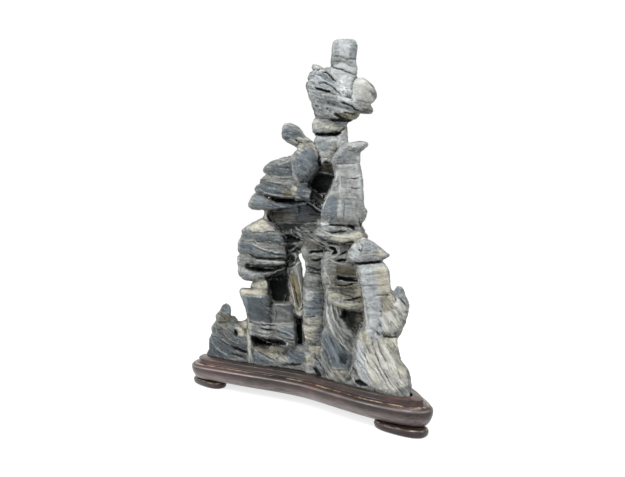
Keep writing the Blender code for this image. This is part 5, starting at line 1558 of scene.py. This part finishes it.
def polygon_reach(place, path):
    """How far inside a closed path each place lies, negative outside it."""
    corners = spots(path)
    reach = np.full(len(place), OUTSIDE)
    low, high = corners.min(axis=0) - MARGIN, corners.max(axis=0) + MARGIN
    near = np.flatnonzero(np.all((place > low) & (place < high), axis=1))
    spot = place[near]
    gap = np.full(len(near), np.inf)
    inside = np.zeros(len(near), dtype=bool)
    for start, end in zip(corners, np.roll(corners, -1, axis=0)):
        side = end - start
        part = np.clip((spot - start) @ side / (side @ side), 0, 1)
        gap = np.minimum(gap, np.linalg.norm(spot - start - part[:, None] * side, axis=1))
        crosses = (start[1] > spot[:, 1]) != (end[1] > spot[:, 1])
        rise = side[1] if side[1] else 1.0
        inside ^= crosses & (spot[:, 0] < start[0] + (spot[:, 1] - start[1]) * side[0] / rise)
    reach[near] = np.where(inside, gap, -gap)
    return reach


def area_push(place):
    """How far the drawn areas set the surface back."""
    push = np.zeros(len(place))
    for _, _, depth, path in AREAS:
        if depth:
            inside = smooth_step(polygon_reach(place, path), -0.4, 1.2 + abs(depth) / 4)
            push = np.where(abs(depth) * inside > abs(push), depth * inside, push)
    return push


print("points in the first path:", len(spots(CRACKS[0][2])))

# %% Carve the face
FAR_CRACK = 1.8


def far_creases(points, height, view):
    """The creases between the beds that have opened on the far side, in some places only."""
    return creases(points, height) * smooth_step(clouds(points, 30.0, 2, 23.0), -0.3, 0.1) * (1 - view)


place = wavering(points)
write_points(stone, points + from_eye(points) * (area_push(place) * view)[:, None])
points, normals = read_points(stone)
view = in_view(points, normals)
cut = (line_depth(place, CRACKS) - line_depth(place, VEINS)) * view
parted = FAR_CRACK * far_creases(points, height, view)
write_points(stone, points + from_eye(points) * cut[:, None] - normals * parted[:, None])
print("deepest cut:", round(float(cut.max()), 1), "mm")

# %% [markdown]
# ## Weathering, and the fit in the stand
# Rain leaves limestone grainy and finely pitted. The grain is noise along the normals, finer and
# shallower in steps. Then the stone is cut to the room that its stand leaves: everything above the lip,
# and inside the recess all but a hair's breadth. Collapsing edges brings the mesh down to a weight that
# can be handled, and spends the triangles where the surface bends.

# %% Weather, trim and thin
STONE_TRIANGLES = 192000
FAR = 400
CEILING = 500
SEAT_POINTS = 200
WEATHER = [(0.30, 6.0, 3, 21.0), (0.12, 2.4, 2, 31.0)]

points, normals = read_points(stone)
grain = layered_clouds(points, WEATHER)
write_points(stone, points + normals * grain[:, None])

seat = smooth_closed(SEAT_PLAN, SEAT_POINTS)
square = np.array([(-FAR, -FAR), (FAR, -FAR), (FAR, FAR), (-FAR, FAR)], dtype=float)
room = prism("room", square, LIP_TOP + SEAT_GAP, CEILING)
pocket = prism("pocket", offset_outline(seat, -SEAT_GAP), SEAT_FLOOR + SEAT_GAP, LIP_TOP + ABOVE_LIP)
applied(room, BOOLEAN={"operation": "UNION", "object": pocket, "solver": "MANIFOLD"})
applied(stone, BOOLEAN={"operation": "INTERSECT", "object": room, "solver": "MANIFOLD"})
for spare in (room, pocket):
    bpy.data.objects.remove(spare)
triangles = sum(len(face.vertices) - 2 for face in stone.data.polygons)
if triangles > STONE_TRIANGLES:
    applied(stone, DECIMATE={"ratio": STONE_TRIANGLES / triangles})
stone.data.shade_smooth()
print("stone:", len(stone.data.vertices), "points,", len(stone.data.polygons), "faces")

# %% [markdown]
# ## Painting the stone
# What a finish can't work out for itself is stored on the mesh's points: which bed a point lies in, how
# hollow or how exposed it is, where a crack runs, and where the mineral stains and the painted shade are.
# Hollows and crests come from the shape itself, by comparing each point with the average of the points
# around it. The stains on the face were drawn on the elevation. The far side gets the same stains by
# chance, laid along its beds, so that it's the same stone all round.

# %% Paint
# Where the noise of each kind begins on the far side, where it is full, and how strong it is there.
FAR_SIDE = {"slate": (0.10, 0.45, 0.8), "pale": (0.25, 0.55, 0.7), "cream": (0.28, 0.6, 0.8),
            "ochre": (0.32, 0.6, 0.6), "shade": (0.9, 1.0, 0.0), "white": (0.35, 0.6, 0.5)}
STAIN_SIZE = 16.0
FAR_CRACK_PAINT = 2.2
SOFT_EDGE = 1.8
SHARP_EDGE = 0.8
RAGGED_SIZE = 3.0
STAIN_STRETCH = [0.35, 0.6, 1.0]
# How many times over the values are evened out between neighbours.
VIEW_ROUNDS = 3
ROUGH_ROUNDS = 8
FINE_ROUNDS = 3
BROAD_ROUNDS = 40


def store(piece, name, values):
    layer = piece.data.attributes.new(name, "FLOAT", "POINT")
    layer.data.foreach_set("value", np.ascontiguousarray(values, dtype=np.float32))


def wash_strength(place, kind):
    """How strongly each place is stained by the drawn areas and washes of one kind."""
    clear = np.ones(len(place))
    soft = SHARP_EDGE if kind == "shade" else SOFT_EDGE
    for name, strength, _, path in AREAS:
        if name == kind:
            clear *= 1 - strength * smooth_step(polygon_reach(place, path), -soft, soft)
    for name, across, up, half_across, half_up, turn, strength in WASHES:
        if name != kind:
            continue
        offset = place - [across, up]
        near = np.flatnonzero(np.max(np.abs(offset), axis=1) < 1.8 * max(half_across, half_up))
        turned = math.radians(turn)
        main = offset[near, 0] * math.cos(turned) + offset[near, 1] * math.sin(turned)
        side = offset[near, 1] * math.cos(turned) - offset[near, 0] * math.sin(turned)
        reach = np.sqrt((main / half_across) ** 2 + (side / half_up) ** 2)
        clear[near] *= 1 - strength * (1 - smooth_step(reach, 0.65, 1.35))
    return 1 - clear


def bulge(points, normals, edges, rounds):
    """How far each point stands out from the average of those around it."""
    return np.sum((points - averaged(points, edges, rounds)) * normals, axis=1)


def paint(piece):
    """Stores on the mesh all that the finish reads."""
    points, normals = read_points(piece)
    edges = read_edges(piece)
    view = in_view(points, normals)
    place = wavering(points)
    soft_view = averaged(view, edges, VIEW_ROUNDS)
    owner = nearest_mass(points, masses)
    _, tone, height, rough = bed_relief(points, owner, masses)
    store(piece, "rough", averaged(rough, edges, ROUGH_ROUNDS))
    store(piece, "bed", tone)
    store(piece, "strata", height)
    parted = FAR_CRACK_PAINT * far_creases(points, height, view)
    store(piece, "crack", averaged(line_depth(place, CRACKS) * view + parted, edges, 1))
    store(piece, "vein", averaged(line_depth(place, VEINS) * view, edges, 1))
    store(piece, "fine_bulge", bulge(points, normals, edges, FINE_ROUNDS))
    store(piece, "broad_bulge", bulge(points, normals, edges, BROAD_ROUNDS))
    ragged = place + np.column_stack([clouds(points, RAGGED_SIZE, 2, seed) for seed in (41.0, 43.0)])
    dip = np.array([mass.dip for mass in masses])[owner]
    along_bed = points * STAIN_STRETCH
    along_bed[:, 2] += np.tan(dip) * points[:, 0] * STAIN_STRETCH[0]
    for number, (kind, (low, high, most)) in enumerate(FAR_SIDE.items()):
        drawn = wash_strength(ragged, kind)
        strewn = most * smooth_step(clouds(along_bed, STAIN_SIZE, 3, 50.0 + 7 * number), low, high)
        store(piece, kind, drawn * soft_view + strewn * (1 - soft_view))


paint(stone)
for layer in stone.data.attributes:
    if layer.domain == "POINT" and layer.data_type == "FLOAT":
        values = np.empty(len(stone.data.vertices), dtype=np.float32)
        layer.data.foreach_get("value", values)
        print(layer.name, "from 5% to 95%:", np.percentile(values, (5, 25, 50, 75, 95)).round(2))

# %% [markdown]
# ## The stone's finish
# Grey limestone with bluish slate beds, warm cream mud in the folds, ochre stains and cracks painted black
# as shade. From the bottom up: a mottled grey, each bed a little lighter or darker, the stains, thin
# wandering calcite threads, pale crests that are partly worn and partly a painted highlight, painted shade
# in everything hollow and along the fine grooves, then the drawn cracks and dark areas in painted shade, and
# the veins. The surface is matt, with a faint sheen where hands have rubbed the crests. How strong the bed
# lines are follows each mass's own roughness, so that the smooth blocks stay calm.

# %% Stone finish
# Each kind of stone has a dark and a light shade, and its texture runs between the two.
PLAIN = ((0.042, 0.046, 0.045), (0.222, 0.228, 0.216))
STAINS = {
    "slate": ((0.032, 0.041, 0.049), (0.118, 0.138, 0.152)),
    "pale": ((0.200, 0.212, 0.218), (0.365, 0.382, 0.386)),
    "cream": ((0.165, 0.155, 0.118), (0.400, 0.384, 0.318)),
    "ochre": ((0.036, 0.030, 0.017), (0.170, 0.150, 0.095)),
    "white": ((0.330, 0.340, 0.345), (0.540, 0.560, 0.560))}
SHADE = (0.006, 0.008, 0.008)
THREAD = (0.380, 0.385, 0.365)
# Pale colour of the crests, partly worn stone and partly a painted highlight.
CREST_WEAR_AND_HIGHLIGHT = (0.360, 0.370, 0.358)
# Near-black painted shade for the hollows and the fine grooves.
CREVICE_SHADE = (0.014, 0.014, 0.011)


def stone_finish():
    rock = Finish("weathered_limestone")
    place = rock.place()
    across, depth = (rock.node("SeparateXYZ", {}, {"Vector": place}, output=axis) for axis in ("X", "Y"))
    strata = rock.painted("strata")

    def along_beds(pitch, run, start):
        """Noise stretched along the beds: pitch mm from line to line, and run mm long."""
        per_run = 1 / run / MM
        inputs = {"X": across * per_run, "Y": strata * (1 / pitch) + start, "Z": depth * per_run}
        spot = rock.node("CombineXYZ", {}, inputs)
        inputs = {"Vector": spot, "Scale": 1.0, "Detail": 2.5, "Roughness": 0.6, "Distortion": 0.35}
        return rock.node("TexNoise", {}, inputs)

    mottle = rock.noise(place, 3.0, detail=5.0, roughness=0.65)
    patch = rock.noise(place, 15.0, detail=3.0)
    speck = rock.noise(place, 1.0, detail=3.0, roughness=0.7)
    folds = along_beds(5.0, 20.0, 0.0)
    lines = along_beds(1.7, 11.0, 40.0)
    bed = rock.painted("bed")
    fine = rock.painted("fine_bulge")
    broad = rock.painted("broad_bulge")

    rough = rock.painted("rough")
    grain = 0.18 * mottle + 0.14 * bed + 0.24 * folds + 0.12 * lines + 0.06 * speck - 0.37
    tone = (0.44 * patch + 0.37 + grain * (0.35 + 0.65 * rough)).ramp(0.45, 0.74)
    colour = rock.blend(tone, *PLAIN)
    ragged = 0.7 * mottle + 0.4 * folds - 0.55
    for kind, shades in STAINS.items():
        colour = rock.blend((rock.painted(kind) + ragged).ramp(0.10, 0.80), colour, rock.blend(tone, *shades))

    groove = 1.0 - (folds - 0.5).size().ramp(0.006, 0.032)
    groove = groove * patch.ramp(0.42, 0.58) * rough
    thread = 1.0 - (lines - 0.56).size().ramp(0.004, 0.030)
    thread = thread * patch.ramp(0.56, 0.42)
    colour = rock.blend(thread * 0.40, colour, THREAD)
    # The crests are painted pale: partly worn stone, partly a painted highlight.
    crest = fine.ramp(0.22, 0.80) * 0.55 + broad.ramp(2.2, 5.0) * 0.15
    colour = rock.blend((crest * (0.4 + mottle)).clamp(), colour, CREST_WEAR_AND_HIGHLIGHT)
    # Painted shade: the hollows, found from the shape, are darkened where shade falls, less so where cream is
    # painted.
    hollow = (0.0 - fine).ramp(0.18, 0.80) * 0.60 + (0.0 - broad).ramp(0.3, 2.6) * 0.62
    muddy = 1.0 - 0.6 * rock.painted("cream")
    colour = rock.blend(hollow.clamp() * muddy, colour, CREVICE_SHADE)
    # Painted shade along the fine grooves of the beds.
    colour = rock.blend(groove * 0.50, colour, CREVICE_SHADE)
    # The drawn cracks are painted near black, as painted shade inside them.
    crack = rock.painted("crack")
    colour = rock.blend(crack.ramp(0.3, 2.0) * 0.94, colour, SHADE)
    gloom = rock.painted("shade") * (0.62 + 0.40 * mottle + 0.42 * lines)
    colour = rock.blend(gloom.clamp(), colour, SHADE)
    colour = rock.blend(rock.painted("vein").ramp(0.12, 0.65) * (0.25 + 0.7 * mottle), colour, THREAD)

    rock.surface(base_color=colour, roughness=0.78 - 0.22 * crest.clamp() + 0.12 * speck)
    rock.shader.inputs["Specular IOR Level"].default_value = 0.22
    rock.bump((0.9 * folds + 0.5 * lines + 0.35 * mottle + 0.2 * speck - 0.35 * groove) * rough, 0.8, 1.5)
    return rock.material


stone.data.materials.clear()
stone.data.materials.append(stone_finish())
print("stone finish:", len(stone.active_material.node_tree.nodes), "nodes")
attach(stone, "root")
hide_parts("stone")

# %% [markdown]
# ## The stand
# The stand is one hardwood plank, carved to a lobed leaf: a bullnose edge, a narrow ledge with a bright
# line that is partly worn wood and partly a painted highlight, a low lip and, inside it, a recess cut to
# the stone's foot. It could be turned into a subdivision surface, but rings of the lip's outline, pushed
# out by a rounded profile, keep every line true to the lip. The profile has closely spaced points where an
# edge is tight, as (outwards, height).

# %% Stand body
RING_POINTS = 320
SHARPEST_BEND = math.radians(38)
BODY_PROFILE = [
    (0.2, 7.0), (0.9, 7.1), (2.6, 7.8), (4.2, 9.2), (5.4, 10.8), (6.5, 12.8), (7.4, 15.0), (8.0, 17.4),
    (8.3, 19.5), (8.0, 21.2), (7.0, 22.5), (5.6, 23.5), (4.0, 24.1), (2.2, 24.4), (0.9, 24.5), (0.25, 24.7),
    (0.0, 25.2), (0.0, 27.4), (0.0, 28.6), (-0.25, 29.2), (-0.8, 29.5)]


def smoothed(piece):
    """The piece shaded smooth, but for the edges that are truly sharp."""
    piece.data.shade_smooth()
    piece.data.set_sharp_from_angle(angle=SHARPEST_BEND)
    return piece


def build_body():
    lip = smooth_closed(LIP_PLAN, RING_POINTS)
    body = new_piece("carved_stand", *stack_rings(profiled(lip, BODY_PROFILE)))
    recess = prism("recess", seat, SEAT_FLOOR, LIP_TOP + ABOVE_LIP)
    applied(body, BOOLEAN={"operation": "DIFFERENCE", "object": recess, "solver": "MANIFOLD"})
    bpy.data.objects.remove(recess)
    return smoothed(body)


body = build_body()
print("stand body:", len(body.data.polygons), "faces")

# %% [markdown]
# ## The four pads
# Flat oval feet, pegged under the stand's corners. They are superellipses, a little squarer than an
# ellipse, with the same kind of rounded profile.

# %% Pads
PAD_POINTS = 96
PAD_CORNER = 2.5
PAD_PROFILE = [
    (-3.4, -1.0), (-2.4, -0.8), (-1.2, -0.1), (-0.5, 1.0), (-0.1, 2.4), (0.0, 3.4), (-0.1, 4.4), (-0.5, 5.3),
    (-1.2, 6.0), (-2.4, 6.4), (-5.0, 6.7)]

# Name, centre across and back, half length, half width, and turn of each pad in degrees.
PADS = [
    ("pad_front_left", -116.5, -26, 26, 12, -10),
    ("pad_front_right", 134, -32, 26, 13, -4),
    ("pad_back_left", -92, 22, 24, 12, 22),
    ("pad_back_right", 92, 16, 24, 12, -28)]


def build_pad(name, x, y, half_length, half_width, turn):
    wide, deep = superellipse(PAD_POINTS, PAD_CORNER)
    wide, deep = half_length * wide, half_width * deep
    turned = math.radians(turn)
    outline = np.column_stack([x + wide * math.cos(turned) - deep * math.sin(turned),
                               y + wide * math.sin(turned) + deep * math.cos(turned)])
    return smoothed(new_piece("turned_" + name, *stack_rings(profiled(outline, PAD_PROFILE))))


pads = {row[0]: build_pad(*row) for row in PADS}
print("pads:", sorted(pads))

# %% [markdown]
# ## The wood's finish
# Dark, close-grained hardwood under many coats of oil and wax. The grain runs along the stand, so its
# noise is stretched along x. Fine pores darken it, and the lower face is painted lighter and greyer towards
# the bottom, a painted reflection of the pale floor. A level band on the shoulder of the bullnose is painted
# grey as a highlight. Hands have rubbed the ledge, the pads' upper edge and the lip's corner through to
# golden wood in specks, which are partly worn wood and partly a painted highlight. A thin coat gives the
# soft shine.

# %% Wood finish
WOOD_DARK = (0.005, 0.003, 0.0025)
WOOD_LIGHT = (0.034, 0.019, 0.016)
WOOD_RED = (0.060, 0.022, 0.019)
# Gold of the bands, partly worn wood and partly a painted highlight.
GOLD_WEAR_AND_HIGHLIGHT = (0.50, 0.41, 0.27)
# Grey of the painted reflection on the lower face and of the painted highlight on the shoulder.
PAINTED_REFLECTION_GREY = (0.165, 0.140, 0.134)
# Height where the lower face starts to be painted lighter, as a painted reflection of the floor, and how far
# down it fades in.
REFLECTION_TOP = 19.0
REFLECTION_FADE = 8.0
PAD_TOP = 6.8
HARD_EDGE = 0.1
# Height, half width, faded half width and strength of the gold bands, partly worn wood and partly a painted
# highlight.
GOLD_BANDS = [(24.05, 0.08, 0.36, 0.55), (5.75, 0.15, 0.55, 0.40), (29.2, 0.1, 0.7, 0.07)]
# Height, half width, faded half width and strength of the grey band on the bullnose's shoulder, a painted
# highlight.
HIGHLIGHT_BAND = (21.4, 0.3, 1.3, 0.55)


def wood_finish():
    wood = Finish("waxed_hardwood")
    place = wood.place()
    grain = wood.noise(wood.stretched(place, (0.12, 1.0, 1.0)), 2.2, detail=5.0, roughness=0.6,
                       distortion=0.4)
    figure = wood.noise(wood.stretched(place, (0.3, 1.0, 1.0)), 22.0, detail=3.0)
    pores = wood.noise(wood.stretched(place, (0.06, 1.0, 1.0)), 0.7, detail=2.0)
    colour = wood.blend((0.6 * grain + 0.5 * figure).ramp(0.35, 0.75), WOOD_DARK, WOOD_LIGHT)
    colour = wood.blend(figure.ramp(0.50, 0.66) * grain.ramp(0.35, 0.65) * 0.8, colour, WOOD_RED)
    colour = wood.blend(pores.ramp(0.55, 0.72) * 0.7, colour, WOOD_DARK)

    height = wood.node("SeparateXYZ", {}, {"Vector": place}, output="Z")

    def level(drawn):
        return (drawn + PAD_DROP) * MM

    def band(middle, half_width, faded, strength):
        return (1.0 - (height - level(middle)).size().ramp(half_width * MM, faded * MM)) * strength

    # Painted reflection: the lower face is painted lighter grey towards the bottom, down to the pads.
    floor_reflection = (level(REFLECTION_TOP) - height).ramp(0.0, REFLECTION_FADE * MM)
    floor_reflection = floor_reflection * (height - level(PAD_TOP)).ramp(0.0, HARD_EDGE * MM)
    colour = wood.blend(floor_reflection * (0.9 * figure + 0.9 * grain).ramp(0.50, 1.25), colour, PAINTED_REFLECTION_GREY)
    # Painted highlight: a level grey band along the shoulder of the bullnose.
    colour = wood.blend(band(*HIGHLIGHT_BAND) * figure.ramp(0.30, 0.60), colour, PAINTED_REFLECTION_GREY)
    long_specks = wood.noise(wood.stretched(place, (0.3, 1.0, 1.0)), 3.0, detail=5.0, roughness=0.75)
    gold_specks = long_specks.ramp(0.44, 0.62)
    # Bands of gold specks at the ledge, the pads' upper edge and the lip's corner: partly worn wood, partly a
    # painted highlight.
    for row in GOLD_BANDS:
        colour = wood.blend(band(*row) * gold_specks, colour, GOLD_WEAR_AND_HIGHLIGHT)

    wood.surface(base_color=colour, roughness=0.24 + 0.20 * grain, coat_weight=0.22, coat_roughness=0.12)
    wood.shader.inputs["Specular IOR Level"].default_value = 0.28
    wood.bump(0.6 * grain + 0.7 * pores + 0.4 * figure, 0.5, 0.4)
    return wood.material


finish = wood_finish()
print("wood finish:", len(finish.node_tree.nodes), "nodes")
for piece, node in [(body, "stand_body")] + [(pad, name) for name, pad in pads.items()]:
    piece.data.materials.clear()
    piece.data.materials.append(finish)
    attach(piece, "root")
    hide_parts(node)
